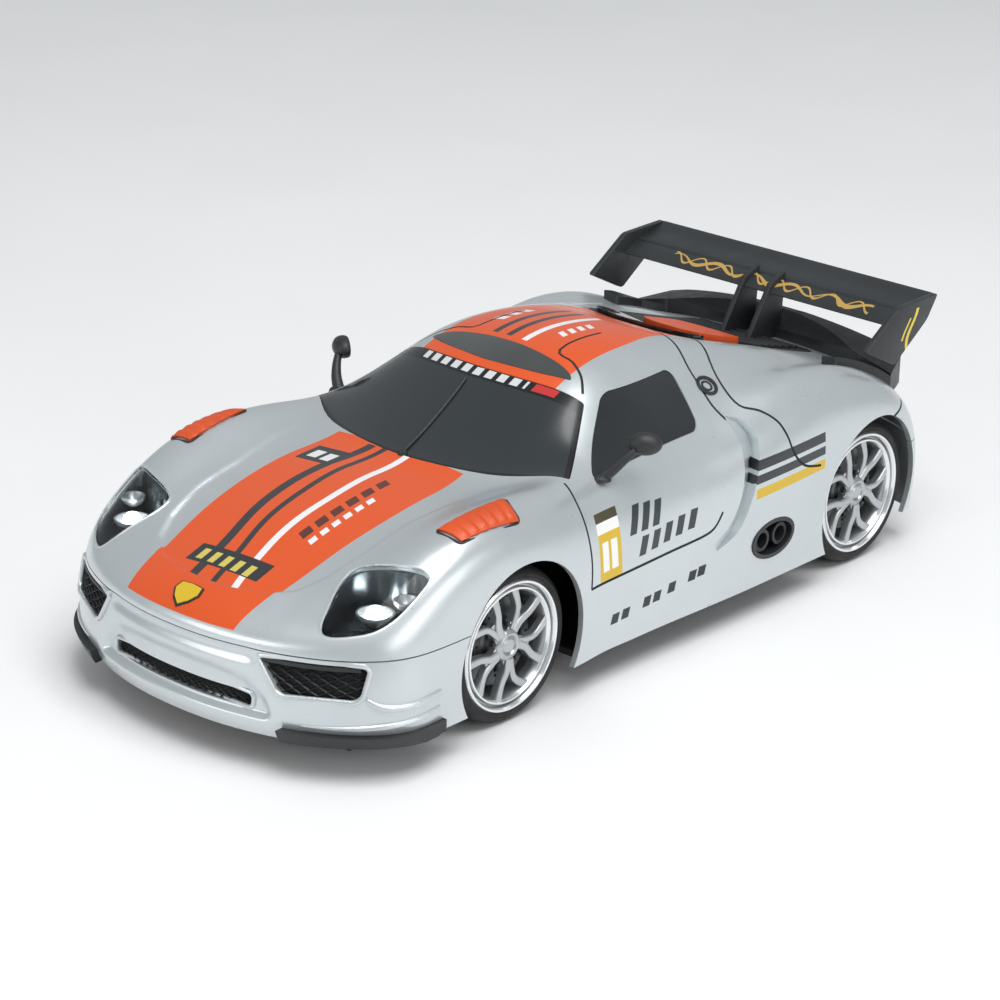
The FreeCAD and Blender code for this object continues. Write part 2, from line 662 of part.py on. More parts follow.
AXLE_X = size("rear_axle_x")
LAY_X = AXLE_X + MODULE * (size("axle_teeth") + size("small_teeth")) / 2
MOTOR_X = LAY_X + MODULE * (size("large_teeth") + size("pinion_teeth")) / 2
AXLE_T, SMALL_T = int(size("axle_teeth")), int(size("small_teeth"))
LARGE_T, PINION_T = int(size("large_teeth")), int(size("pinion_teeth"))

node("rear_shaft", rod("rear_shaft", ("dims.rear_axle_x", "-dims.wheel_side - 5.4",
                                      "dims.axle_height"),
                       "dims.shaft_radius", "2 * dims.wheel_side + 10.8", ALONG_Y))
drive = gear(AXLE_T, 0.0, 0.0, 5.0, AXLE_X).fuse(bar_y(4, -1.6, 6.2, AXLE_X))
made("axle_gear", drive.cut(bar_y(SHAFT, -5, 10, AXLE_X)).removeSplitter())
PIN = 1.2
compound = gear(SMALL_T, math.pi / SMALL_T, -0.6, 6.6, LAY_X)
compound = compound.fuse(gear(LARGE_T, 0.0, 6.6, 10.0, LAY_X))
compound = compound.fuse(bar_y(PIN, -3.8, 12.8, LAY_X))
made("compound_gear", compound.removeSplitter())
pinion = gear(PINION_T, math.pi / PINION_T, 6.4, 10.2, MOTOR_X)
made("motor_pinion", pinion.fuse(bar_y(1.0, 6.0, 15.0, MOTOR_X)).removeSplitter())

# the gearbox splits at axle height, through all three shafts
SPLIT = size("axle_height")
case = block((AXLE_X - 12, -4, 10), (MOTOR_X + 6.5, 13, 35.2))
case = case.cut(block((AXLE_X - 10.6, -2, 11.4), (MOTOR_X + 5.1, 11, 33.8)))
for x, radius in ((AXLE_X, SHAFT + GAP), (LAY_X, PIN + GAP), (MOTOR_X, 3.0)):
    case = case.cut(bar_y(radius, -6 if x != MOTOR_X else 8, 20, x))
made("gearbox_lower", case.common(block((-150, -50, 0), (0, 50, SPLIT))))
made("gearbox_upper", case.common(block((-150, -50, SPLIT), (0, 50, 60))))

# a bush block near each rear wheel
bush_parts = []
for y in (31, -36):
    bush = block((AXLE_X - 4, y, 10), (AXLE_X + 4, y + 5, 27))
    bush_parts.append(bush.cut(bar_y(SHAFT + GAP, -60, 60, AXLE_X)))
made("axle_bearings", bush_parts[0].fuse(bush_parts[1]))

can = bar_y(size("motor_radius"), 13, 13 + size("motor_length"), MOTOR_X)
can = can.common(block((-150, 0, SPLIT - 7.6), (0, 60, SPLIT + 7.6)))
can = can.fuse(bar_y(3.0, 11.2, 13, MOTOR_X)).cut(bar_y(1.0 + GAP, 10, 16, MOTOR_X))
made("drive_motor", can.removeSplitter())

# ---------------------------------------------------------------- steering
STEER_X, KING_Y = size("front_axle"), size("kingpin_side")
barrel = rod("knuckle_barrel", ("dims.front_axle", "dims.kingpin_side", 14.8), 2.8, 14.9)
kingpin = rod("knuckle_pin", ("dims.front_axle", "dims.kingpin_side", 12.2),
              "dims.shaft_radius", 20.2)
stub = rod("knuckle_stub", ("dims.front_axle", "dims.kingpin_side", "dims.axle_height"),
           "dims.shaft_radius", "dims.wheel_side - dims.kingpin_side + 5.2", ALONG_Y)
collar = rod("knuckle_collar", ("dims.front_axle", "dims.kingpin_side", "dims.axle_height"),
             2.4, 7.6, ALONG_Y)
lever = box("knuckle_lever", ("dims.front_axle - dims.steer_arm", "dims.kingpin_side - 1.6", 25.6),
            ("dims.steer_arm", 3.2, 2.2))
lever_end = rod("knuckle_lever_end", ("dims.front_axle - dims.steer_arm", "dims.kingpin_side",
                                      25.6), 1.9, 2.2)
lever_pin = rod("knuckle_lever_pin", ("dims.front_axle - dims.steer_arm", "dims.kingpin_side",
                                      27.8), 1.2, 2.9)
knuckle = fuse("knuckle_left", barrel, kingpin, stub, collar, lever, lever_end, lever_pin)
node("knuckle_left", knuckle)
node("knuckle_right", mirrored("knuckle_right", knuckle))

ROD_X = STEER_X - size("steer_arm")
SWING = size("steer_arm") * (1 - math.cos(math.radians(size("steer_reach"))))
tie = block((ROD_X - 2.4, -KING_Y, 28.1), (ROD_X + 2.4, KING_Y, 30.1))
for y in (KING_Y, -KING_Y):
    tie = tie.fuse(Part.makeCylinder(3.0, 2, Vector(ROD_X, y, 28.1)))


def slot(y, low, high):
    """A slot along X for a pin of radius 1.2 that swings between low and high."""
    reach = 1.35
    hole = block((ROD_X + low, y - reach, 27), (ROD_X + high, y + reach, 31))
    for x in (low, high):
        hole = hole.fuse(Part.makeCylinder(reach, 4, Vector(ROD_X + x, y, 27)))
    return hole


for y in (KING_Y, -KING_Y):
    tie = tie.cut(slot(y, -0.1, SWING + 0.1))
tie = tie.fuse(block((ROD_X - 4.2, -5, 28.1), (ROD_X + 2.4, 5, 30.1)))
tie = tie.cut(slot(0, -SWING - 0.1, 0.1))
made("tie_rod", tie.removeSplitter())

servo = box("servo_case", (18, -11, "dims.pan_bottom + dims.pan_wall"), (27, 22, 15))
servo_bore = rod("servo_bore", ("dims.front_axle - 2 * dims.steer_arm", 0, 21),
                 "dims.shaft_radius + dims.run_gap", 6)
node("steering_servo", cut("steering_servo", servo, servo_bore))
arm_shaft = rod("servo_arm_shaft", ("dims.front_axle - 2 * dims.steer_arm", 0, 21.4),
                "dims.shaft_radius", 5)
arm_hub = rod("servo_arm_hub", ("dims.front_axle - 2 * dims.steer_arm", 0, 25.6), 3.4, 2.2)
arm_bar = box("servo_arm_bar", ("dims.front_axle - 2 * dims.steer_arm", -1.8, 25.6),
              ("dims.steer_arm", 3.6, 2.2))
arm_tip = rod("servo_arm_tip", ("dims.front_axle - dims.steer_arm", 0, 25.6), 1.8, 2.2)
arm_pin = rod("servo_arm_pin", ("dims.front_axle - dims.steer_arm", 0, 27.8), 1.2, 2.9)
node("servo_arm", fuse("servo_arm", arm_shaft, arm_hub, arm_bar, arm_tip, arm_pin))

bridge = box("bridge_bar", ("dims.front_axle - 3.4", "-dims.kingpin_side", 30),
             (6.8, "2 * dims.kingpin_side", 2.4))
bridge_parts = [bridge]
bridge_holes = []
for side, sign in SIDES:
    y = "dims.kingpin_side" if sign > 0 else "-dims.kingpin_side"
    bridge_parts.append(rod(f"bridge_end_{side}", ("dims.front_axle", y, 30), 3.4, 2.4))
    bridge_holes.append(rod(f"bridge_bore_{side}", ("dims.front_axle", y, 29),
                            "dims.shaft_radius + dims.run_gap", 5))
node("steering_bridge", cut("steering_bridge", fuse("bridge_whole", *bridge_parts),
                            *bridge_holes))

# ---------------------------------------------------------------- chassis
PAN = "dims.pan_bottom"
DECK = "dims.pan_bottom + dims.pan_wall"
solid_parts = [
    box("pan_middle", (-68, -56.5, PAN), (101, 113, "dims.pan_wall")),
    box("pan_front", (33, -30, PAN), (59, 60, "dims.pan_wall")),
    box("pan_nose", (92, -50, PAN), (28, 100, "dims.pan_wall")),
    box("pan_rear", (-119, -38, PAN), (51, 76, "dims.pan_wall")),
    box("pan_rail_left", (-66, 53, DECK), (97, 2, 9)),
    box("pan_rail_right", (-66, -55, DECK), (97, 2, 9)),
    box("battery_wall_front", (8, -25, DECK), (2, 50, 16.4)),
    box("battery_wall_rear", (-50, -25, DECK), (2, 50, 16.4)),
    box("battery_wall_left", (-50, 23, DECK), (60, 2, 16.4)),
    box("battery_wall_right", (-50, -25, DECK), (60, 2, 16.4)),
    box("motor_cradle", (MOTOR_X - 7, 18, DECK), (14, 14, 4.9)),
]
pan_holes = [box("battery_door_hole", (-46, -21, 7), (52, 42, 4))]
for side, sign in SIDES:
    y = 22 if sign > 0 else -30
    solid_parts.append(box(f"tower_{side}", ("dims.front_axle - 4", y, DECK), (8, 8, 20)))
    arm_y = 22 if sign > 0 else "-dims.kingpin_side"
    solid_parts.append(box(f"lower_arm_{side}", ("dims.front_axle - 3.4", arm_y, 12),
                           (6.8, "dims.kingpin_side - 22", 2.5)))
    y = "dims.kingpin_side" if sign > 0 else "-dims.kingpin_side"
    solid_parts.append(rod(f"lower_arm_end_{side}", ("dims.front_axle", y, 12), 3.4, 2.5))
    pan_holes.append(rod(f"lower_bore_{side}", ("dims.front_axle", y, 11),
                         "dims.shaft_radius + dims.run_gap", 5))
pan_holes.append(box("switch_slot", (-4.2, 40.9, 7), (8.4, 2.2, 4)))
for k, (x, y) in enumerate(POSTS):
    pan_holes.append(rod(f"screw_hole_{k}", (x, y, 7), SCREW_RADIUS, 4))
    pan_holes.append(rod(f"screw_sink_{k}", (x, y, 7), 2.6, 2.2))
node("chassis_pan", cut("chassis_pan", fuse("pan_whole", *solid_parts), *pan_holes))

screws = []
for k, (x, y) in enumerate(POSTS):
    screws.append(rod(f"screw_head_{k}", (x, y, 8), 2.6, 1.2))
    screws.append(rod(f"screw_shank_{k}", (x, y, 9.2), SCREW_RADIUS, 11))
node("body_screws", fuse("body_screws", *screws))

node("battery_cover", box("battery_cover", (-45.7, -20.7, PAN), (51.4, 41.4, "dims.pan_wall")))
cells = []
for k in (-1, 0, 1):
    y = f"{k} * 2 * dims.cell_radius"
    cells.append(rod(f"cell_{k + 1}", (-46, y, "dims.pan_bottom + dims.pan_wall + 7.1"),
                     "dims.cell_radius", "dims.cell_length", ALONG_X))
cells.append(box("cell_wrap", (-46, "-2 * dims.cell_radius", 14), ("dims.cell_length",
                                                                  "4 * dims.cell_radius", 6)))
node("battery_pack", fuse("battery_pack", *cells))

board = box("board_plate", (-44, -25, 26.4), (48, 50, 1.6))
chips = [box("board_chip", (-30, -8, 28), (12, 12, 1.8)),
         rod("board_capacitor", (-8, 12, 28), 3, 7),
         box("board_socket", (-38, 12, 28), (9, 6, 5)),
         rod("board_crystal", (-6, -12, 28), 2, 3.4)]
node("circuit_board", fuse("circuit_board", board, *chips))

case_block = box("switch_case", (-7, 38, DECK), (14, 8, 7))
case_room = box("switch_room", (-4.6, 39.4, 9), (9.2, 5.2, 4.6))
node("power_switch_body", cut("power_switch_body", case_block, case_room))
stem = box("switch_stem", (-3.9, 41.2, 6.8), (2.6, 1.6, 4))
flange = box("switch_flange", (-4.1, 39.8, 10.2), (3.6, 4.4, 2.6))
node("power_switch_knob", fuse("power_switch_knob", stem, flange))

# ---------------------------------------------------------------- check and write
doc.recompute()
faults = []
for thing in doc.Objects:
    if "Invalid" in thing.State or "Error" in thing.State:
        faults.append(f"{thing.Name}: {thing.State}")
for thing in LABELS:
    shape = thing.Shape
    if shape.isNull() or not shape.isValid() or not shape.Solids:
        faults.append(f"{thing.Label}: bad shape")
if faults:
    raise RuntimeError("; ".join(faults))
os.makedirs("parts", exist_ok=True)
for thing in LABELS:
    thing.Shape.exportStep(f"parts/{thing.Label}.step")
    extent = thing.Shape.BoundBox
    print(f"{thing.Label:24s} solids {len(thing.Shape.Solids)} volume {thing.Shape.Volume:9.1f} "
          f"x {extent.XMin:7.1f} {extent.XMax:7.1f}  y {extent.YMin:6.1f} {extent.YMax:6.1f}  "
          f"z {extent.ZMin:5.1f} {extent.ZMax:5.1f}")
print(len(LABELS), "sub-parts")
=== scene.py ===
# %% [markdown]
# # A remote control coupe, one step at a time
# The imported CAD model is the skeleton: it says where every piece sits and how the wheels, the
# steering and the gears move. This lesson dresses it. Pieces whose CAD shape is already right keep
# their mesh and get a finish. Pieces that need softer forms or finer detail are modelled again in
# millimetres and scaled to metres at the end, in the same place.

# %% Load the frame
import math

import bmesh
import bpy
from mathutils import Matrix, Vector, bvhtree, geometry, interpolate


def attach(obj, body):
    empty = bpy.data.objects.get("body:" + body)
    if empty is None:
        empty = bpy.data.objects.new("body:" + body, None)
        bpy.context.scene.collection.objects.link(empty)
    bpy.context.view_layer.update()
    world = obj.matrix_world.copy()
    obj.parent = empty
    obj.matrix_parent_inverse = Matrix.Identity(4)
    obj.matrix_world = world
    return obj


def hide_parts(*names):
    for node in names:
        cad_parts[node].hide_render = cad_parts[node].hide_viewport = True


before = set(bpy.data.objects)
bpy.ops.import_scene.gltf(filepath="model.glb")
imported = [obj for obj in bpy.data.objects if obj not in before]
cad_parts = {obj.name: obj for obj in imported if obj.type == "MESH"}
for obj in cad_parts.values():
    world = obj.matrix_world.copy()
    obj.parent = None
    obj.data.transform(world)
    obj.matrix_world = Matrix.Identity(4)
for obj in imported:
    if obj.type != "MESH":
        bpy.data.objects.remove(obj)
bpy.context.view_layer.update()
scene = bpy.context.scene
print("CAD pieces:", len(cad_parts))

# %% [markdown]
# ## Camera
# The car is seen from its front left corner, from a little above, with a long lens that keeps the
# perspective mild, as for a catalogue. The camera is placed first, by an angle round the car, a
# height angle and a distance, and is rolled by a touch.

# %% Place the camera
AIM = Vector((-0.0165, -0.01851, 0.0216))
TURN, TILT, REACH, ROLL = math.radians(41.048), math.radians(21.585), 1.0077, 0.024152
back = Vector((math.cos(TILT) * math.cos(TURN), math.cos(TILT) * math.sin(TURN), math.sin(TILT)))
right = Vector((0, 0, 1)).cross(back).normalized()
up = back.cross(right)
right_rolled = right * math.cos(ROLL) + up * math.sin(ROLL)
up_rolled = up * math.cos(ROLL) - right * math.sin(ROLL)
camera = bpy.data.objects.new("camera", bpy.data.cameras.new("camera"))
camera.data.sensor_width, camera.data.lens = 36, 119.7
camera.data.clip_start, camera.data.clip_end = 0.01, 20
camera.matrix_world = Matrix((right_rolled, up_rolled, back)).transposed().to_4x4()
camera.location = AIM + back * REACH
scene.collection.objects.link(camera)
scene.camera = camera
print("camera at", [round(v, 3) for v in camera.location])

# %% [markdown]
# ## Making finishes
# A finish is a small graph of nodes. Every pattern reads Object coordinates, which are the car's
# own axes in metres, so a stripe on the hood is a rule about x, y and z and stays put when the
# piece moves. The Graph helper keeps the rules short: it makes arithmetic nodes and returns their
# outputs.


# %% The graph helper
class Graph:
    """Arithmetic on the car's coordinates, made of nodes in one material."""

    def __init__(self, name):
        self.material = bpy.data.materials.new(name)
        self.material.use_nodes = True
        self.tree = self.material.node_tree
        self.shader = self.tree.nodes["Principled BSDF"]
        self.place = self.tree.nodes.new("ShaderNodeTexCoord").outputs["Object"]
        split = self.tree.nodes.new("ShaderNodeSeparateXYZ")
        self.tree.links.new(self.place, split.inputs[0])
        self.x, self.y, self.z = (self.do("MULTIPLY", out, 1000) for out in split.outputs)

    def feed(self, value, socket):
        if isinstance(value, bpy.types.NodeSocket):
            self.tree.links.new(value, socket)
        else:
            socket.default_value = value

    def do(self, operation, *values):
        node = self.tree.nodes.new("ShaderNodeMath")
        node.operation = operation
        for value, socket in zip(values, node.inputs):
            self.feed(value, socket)
        return node.outputs[0]

    def between(self, value, low, high):
        """1 where value lies between low and high."""
        inside = self.do("GREATER_THAN", value, low)
        return self.do("MULTIPLY", inside, self.do("LESS_THAN", value, high))

    def all(self, *masks):
        result = masks[0]
        for mask in masks[1:]:
            result = self.do("MULTIPLY", result, mask)
        return result

    def any(self, *masks):
        result = masks[0]
        for mask in masks[1:]:
            result = self.do("MAXIMUM", result, mask)
        return result

    def curve(self, value, points, low, high):
        """A smooth line through a few (position, height) points, heights from low to high."""
        node = self.tree.nodes.new("ShaderNodeFloatCurve")
        start, end = points[0][0], points[-1][0]
        share = self.do("DIVIDE", self.do("SUBTRACT", value, start), end - start)
        handles = node.mapping.curves[0].points
        for x, y in points[1:-1]:
            handles.new((x - start) / (end - start), (y - low) / (high - low))
        handles[0].location = (0, (points[0][1] - low) / (high - low))
        handles[len(handles) - 1].location = (1, (points[-1][1] - low) / (high - low))
        node.mapping.update()
        self.feed(share, node.inputs["Value"])
        return self.do("MULTIPLY_ADD", node.outputs[0], high - low, low)

    def mix(self, mask, first, second):
        node = self.tree.nodes.new("ShaderNodeMix")
        node.data_type = "RGBA"
        self.feed(mask, node.inputs["Factor"])
        self.feed(first, node.inputs["A"])
        self.feed(second, node.inputs["B"])
        return node.outputs["Result"]

    def noise(self, scale, detail=2.0, low=0.0, high=1.0, stretch=None):
        """Cloudy noise from low to high; scale is in patches per metre."""
        node = self.tree.nodes.new("ShaderNodeTexNoise")
        node.inputs["Scale"].default_value = scale
        node.inputs["Detail"].default_value = detail
        source = self.place
        if stretch:
            mapping = self.tree.nodes.new("ShaderNodeMapping")
            mapping.inputs["Scale"].default_value = stretch
            self.tree.links.new(self.place, mapping.inputs["Vector"])
            source = mapping.outputs[0]
        self.tree.links.new(source, node.inputs["Vector"])
        spread = self.tree.nodes.new("ShaderNodeMapRange")
        spread.inputs["From Min"].default_value, spread.inputs["From Max"].default_value = 0.3, 0.7
        spread.inputs["To Min"].default_value, spread.inputs["To Max"].default_value = low, high
        self.tree.links.new(node.outputs["Fac"], spread.inputs["Value"])
        return spread.outputs[0]

    def bump(self, height, distance, strength=1.0):
        node = self.tree.nodes.new("ShaderNodeBump")
        node.inputs["Distance"].default_value = distance
        node.inputs["Strength"].default_value = strength
        self.feed(height, node.inputs["Height"])
        self.tree.links.new(node.outputs[0], self.shader.inputs["Normal"])

    def set(self, **values):
        for name, value in values.items():
            self.feed(value, self.shader.inputs[name.replace("_", " ")])
        return self.material


def tinted(graph, colour, amount, scale):
    """The colour, a little lighter and darker in soft patches."""
    shade = graph.noise(scale, 3.0, 0.0, 1.0)
    darker = tuple(c * (1 - amount) for c in colour[:3]) + (1,)
    lighter = tuple(min(1.0, c * (1 + amount)) for c in colour[:3]) + (1,)
    return graph.mix(shade, darker, lighter)


# %% [markdown]
# ## Plastic, metal and rubber finishes
# Most of the car is injection moulded. Black trim has a fine grain and a satin sheen, nylon gears
# are waxy and pale, steel shafts carry turning marks. Each finish has its own grain size and its
# own spread of roughness, because one even gloss looks like a drawing of plastic, not like plastic.


# %% Plain moulded and metal finishes
def moulded(name, colour, roughness, grain=3000, relief=0.00004, tint=0.12, **more):
    graph = Graph(name)
    base = tinted(graph, colour, tint, 40)
    rough = graph.noise(220, 4.0, roughness - 0.06, roughness + 0.08)
    graph.bump(graph.noise(grain, 2.0), relief)
    return graph.set(Base_Color=base, Roughness=rough, **more)


def machined(name, colour, roughness, stretch=(400, 30, 400)):
    """Bare metal with fine turning marks along one axis."""
    graph = Graph(name)
    base = tinted(graph, colour, 0.1, 60)
    marks = graph.noise(8, 3.0, roughness - 0.08, roughness + 0.12, stretch)
    graph.bump(marks, 0.00002)
    return graph.set(Base_Color=base, Roughness=marks, Metallic=1.0)


black_trim = moulded("satin_black_plastic", (0.017, 0.019, 0.021), 0.42)
chassis_black = moulded("chassis_black_plastic", (0.02, 0.021, 0.022), 0.55, 1800, 0.00008)
# Near-black for the backings behind the grille meshes and the slot: black plastic, darkened further as
# painted shade for the depth seen through the openings.
backing_black_and_shade = moulded("dull_black_backing_and_painted_shade", (0.008, 0.008, 0.009), 0.75, 1500, 0.0001)
grey_nylon = moulded("grey_nylon", (0.2, 0.21, 0.22), 0.48, 2200)
gear_white = moulded("gear_nylon", (0.75, 0.73, 0.66), 0.4, 1600, Subsurface_Weight=0.15)
board_green = moulded("circuit_board_green", (0.015, 0.16, 0.06), 0.35, 900, 0.00006)
cell_wrap = moulded("battery_wrap_blue", (0.03, 0.12, 0.42), 0.3, 700, 0.00003)
brass = machined("turned_brass", (0.78, 0.56, 0.25), 0.3)
steel = machined("turned_steel", (0.62, 0.63, 0.65), 0.3)
disc_metal = machined("brake_disc_metal", (0.16, 0.165, 0.17), 0.42, (300, 40, 300))
print("plain finishes:", len(bpy.data.materials))

# %% [markdown]
# ## Silver paint with its stripes
# The shell is sprayed silver and then decorated in orange, charcoal, white and yellow. Real
# decoration of this kind is pad printed or water-slid on, so the edges are crisp and lie under the
# same clear coat. The stripes are therefore masks inside one paint, not pieces glued on top: each
# mask says where a colour is, from x along the car, y across it and z up. Fine flakes tilt the
# normal a little.


# %% Paint masks
def stripe(g, region, points, width, low=-14, high=12):
    """A line of some width that wanders along x through a few given points."""
    centre = g.curve(g.x, points, low, high)
    off_line = g.do("ABSOLUTE", g.do("SUBTRACT", g.y, centre))
    return g.all(region, g.do("LESS_THAN", off_line, width / 2))


def slanted(g, u, v, low, high, bottom, top, lean):
    """A leaning bar: v from bottom to top, u from low to high and pushed along by v."""
    along = g.do("MULTIPLY_ADD", g.do("SUBTRACT", v, bottom), -lean, u)
    return g.all(g.between(along, low, high), g.between(v, bottom, top))


def body_paint():
    g = Graph("silver_paint_with_stripes")
    side = g.do("ABSOLUTE", g.y)
    on_top = g.do("GREATER_THAN", g.z, 37.9)
    hood = g.all(g.between(g.x, 48, 140), on_top)
    hood_half = g.curve(g.x, [(48, 24), (70, 25.6), (98, 24.6), (121, 22), (137, 20)], 18, 28)
    hood_band = g.all(hood, g.do("LESS_THAN", side, hood_half))
    roof = g.all(g.between(g.x, -62, 20), g.do("GREATER_THAN", g.z, 68))
    roof_half = g.curve(g.x, [(-62, 19), (-40, 20.5), (-17, 24), (11, 25.4), (20, 25.6)], 15, 28)
    roof_band = g.all(roof, g.do("LESS_THAN", side, roof_half))
    orange = g.any(hood_band, roof_band)

    panel = g.between(g.x, 50, 124)
    first = [(50, -8.9), (70, -11.6), (88, -11.3), (111, -6.8), (124, -5)]
    second = [(50, -4.0), (65, -5.7), (81, -5.2), (96, -3.8), (112, 0), (124, 2.8)]
    third = [(50, 4.3), (64, 3.9), (80, 4.2), (95, 4.5), (110, 6.6), (124, 10.3)]
    hood_dark = g.any(stripe(g, panel, first, 3.0), stripe(g, panel, second, 2.0))
    roof_run = g.between(g.x, -34, 0)
    roof_dark = g.all(roof, roof_run, g.any(g.between(g.y, -8.6, -6.6), g.between(g.y, -3.4, -1.4)))
    roof_white = g.all(roof, roof_run, g.between(g.y, 2.6, 4.6))
    roof_marks = g.all(roof, g.any(
        *[slanted(g, g.x, g.y, x, x + 2.2, 8, 11, 0.35) for x in (-24, -20, -16, -12)]))
    roof_words = g.all(roof, g.any(
        *[slanted(g, g.x, g.y, x, x + 3.2, -15.5, -12, -0.3) for x in (-22, -16.5, -11)]))

    plate = g.all(hood, slanted(g, g.x, g.y, 57.5, 67.5, -22.5, -10.5, -0.08))
    plate_mark = g.all(hood, g.any(
        slanted(g, g.x, g.y, 60, 65, -20.5, -17.2, -0.08),
        slanted(g, g.x, g.y, 60, 65, -15.6, -12.4, -0.08)))
    tag = g.all(hood, slanted(g, g.x, g.y, 112.5, 119.6, -12.5, 13.5, -0.05))
    tag_mark = g.all(hood, g.any(*[slanted(g, g.x, g.y, 114, 118.2, y, y + 2.2, -0.05)
                                   for y in (-10, -5.6, -1.2, 3.2, 7.6)]))
    script_dark = g.all(hood, g.any(
        *[slanted(g, g.x, g.y, x, x + 4.2, 9.4, 12.4, 0.4) for x in (64, 70, 76, 82, 88, 94)]))
    script_pale = g.all(hood, g.any(
        *[slanted(g, g.x, g.y, x, x + 2.8, 14, 16, 0.4) for x in (74, 78.5, 83, 87.5, 92, 96.5)]))

    flank = g.do("GREATER_THAN", side, 50)
    haunch = g.all(flank, g.between(g.x, -70, -38))
    rise = g.do("MULTIPLY_ADD", g.do("ADD", g.x, 38), -0.045, 0.0)
    height = g.do("SUBTRACT", g.z, rise)
    side_dark = g.all(haunch, g.any(g.between(height, 46.4, 49.4), g.between(height, 42.5, 45.1)))
    side_yellow = g.all(haunch, g.between(height, 38.0, 41.0))
    plate_zone = g.all(flank, g.between(g.x, 20.5, 30.5))
    door_yellow = g.all(plate_zone, g.between(g.z, 31.5, 45.5))
    door_pale = g.all(plate_zone, g.any(
        g.between(g.z, 45.5, 48.6),
        g.all(g.between(g.x, 22.2, 25.0), g.between(g.z, 34.5, 43)),
        g.all(g.between(g.x, 26.2, 29.0), g.between(g.z, 34.5, 43))))
    door_cap = g.all(plate_zone, g.between(g.z, 48.6, 51.2))
    bars = [(13.5, 41.5, 49.5), (8.5, 41.5, 49.0), (3.5, 41.5, 48.5), (10, 34.5, 40),
            (4.6, 35, 40.3), (-0.8, 35.5, 41), (-6.2, 36, 41.5), (-11.6, 36.4, 42)]
    door_bars = g.all(flank, g.any(*[slanted(g, g.x, g.z, x, x + 3.0, low, high, -0.35)
                                     for x, low, high in bars]))
    small = [(22, 17.4), (17.4, 17.6), (8, 18.4), (3.5, 18.6), (-3, 19.4), (-12, 20.4), (-16, 20.8)]
    sill_marks = g.all(flank, g.any(*[slanted(g, g.x, g.z, x, x + 3.2, z, z + 3, -0.3)
                                      for x, z in small]))

    cloud = tinted(g, (0.60, 0.645, 0.66), 0.035, 25)
    coat = g.mix(orange, cloud, (0.70, 0.084, 0.008, 1))
    for mask, colour in (
            (g.any(hood_dark, roof_dark), (0.035, 0.03, 0.032, 1)),
            (g.any(g.all(hood, stripe(g, panel, third, 2.2)), roof_white, roof_marks, roof_words,
                   script_pale), (0.82, 0.8, 0.82, 1)),
            (g.any(plate, tag), (0.025, 0.025, 0.028, 1)),
            (plate_mark, (0.75, 0.75, 0.76, 1)),
            (tag_mark, (0.62, 0.52, 0.1, 1)),
            (script_dark, (0.10, 0.022, 0.012, 1)),
            (g.any(side_dark, door_bars, sill_marks), (0.022, 0.028, 0.032, 1)),
            (g.any(side_yellow, door_yellow), (0.66, 0.43, 0.012, 1)),
            (door_cap, (0.06, 0.05, 0.02, 1)),
            (door_pale, (0.85, 0.85, 0.82, 1))):
        coat = g.mix(mask, coat, colour)
    printed = g.any(orange, side_dark, side_yellow, door_yellow, door_pale, door_cap, door_bars)
    flakes = g.noise(9000, 1.0)
    g.bump(flakes, 0.00001, 0.25)
    metal = g.do("MULTIPLY_ADD", printed, -0.55, 0.62)
    rough = g.do("ADD", g.noise(120, 4.0, 0.27, 0.34), g.do("MULTIPLY", printed, 0.06))
    return g.set(Base_Color=coat, Metallic=metal, Roughness=rough, Coat_Weight=0.35,
                 Coat_Roughness=0.12)


body_silver = body_paint()
print("paint nodes:", len(body_silver.node_tree.nodes))

# %% [markdown]
# ## Windows, lamps, rims and tyres
# The windows of such a toy are dark tinted moulding: almost black, very glossy, with a matt band
# round the glass. The lamp lens is clear. The rims are silver with a brighter machined edge. Tyre
# rubber is dull and dark, with fine cuts across the tread, which here are a rule about the angle
# round the axle.


# %% Glossy and clear finishes
AXLES = {"front": 64, "rear": -97}  # x of each axle, mm
AXLE_Z = 22.5


def smoked(name, colour=(0.012, 0.015, 0.017), roughness=0.09):
    g = Graph(name)
    rough = g.noise(90, 3.0, roughness - 0.03, roughness + 0.05)
    g.bump(g.noise(60, 2.0), 0.00003, 0.4)
    return g.set(Base_Color=tinted(g, colour, 0.3, 30), Roughness=rough, Coat_Weight=0.5,
                 Coat_Roughness=0.04)


def screen_glass():
    """Dark windscreen: a black border all round, pale dashes on its top band, one red block."""
    g = Graph("smoked_windscreen")
    side = g.do("ABSOLUTE", g.y)
    top_line = g.curve(side, [(0, 19), (15, 17.6), (30, 13.8), (45, 8)], 5, 20)
    top_band = g.do("LESS_THAN", g.x, top_line)
    foot_line = g.curve(side, [(0, 49.4), (20, 46.6), (38, 38.6), (48, 31)], 28, 51)
    foot_band = g.do("GREATER_THAN", g.x, foot_line)
    edge_line = g.curve(g.x, [(8, 31.5), (18, 38.0), (32, 46.8)], 30, 48)
    edge_band = g.do("GREATER_THAN", side, edge_line)
    border = g.any(top_band, foot_band, edge_band)
    mark_line = g.do("SUBTRACT", g.x, g.curve(side, [(0, 17.6), (15, 16.2), (30, 12.2)], 5, 20))
    row = g.between(mark_line, -2.2, 0.5)
    comb = g.do("LESS_THAN", g.do("FRACT", g.do("DIVIDE", g.do("ADD", g.y, 40), 4.4)), 0.62)
    dashes = g.all(row, comb, g.between(g.y, -22, 18))
    block = g.all(row, g.between(g.y, 20, 27))
    colour = g.mix(border, (0.022, 0.027, 0.029, 1), (0.006, 0.007, 0.008, 1))
    colour = g.mix(dashes, colour, (0.6, 0.62, 0.63, 1))
    colour = g.mix(block, colour, (0.5, 0.03, 0.03, 1))
    rough = g.noise(80, 3.0, 0.14, 0.2)
    return g.set(Base_Color=colour, Roughness=rough, Coat_Weight=0.2, Coat_Roughness=0.08)


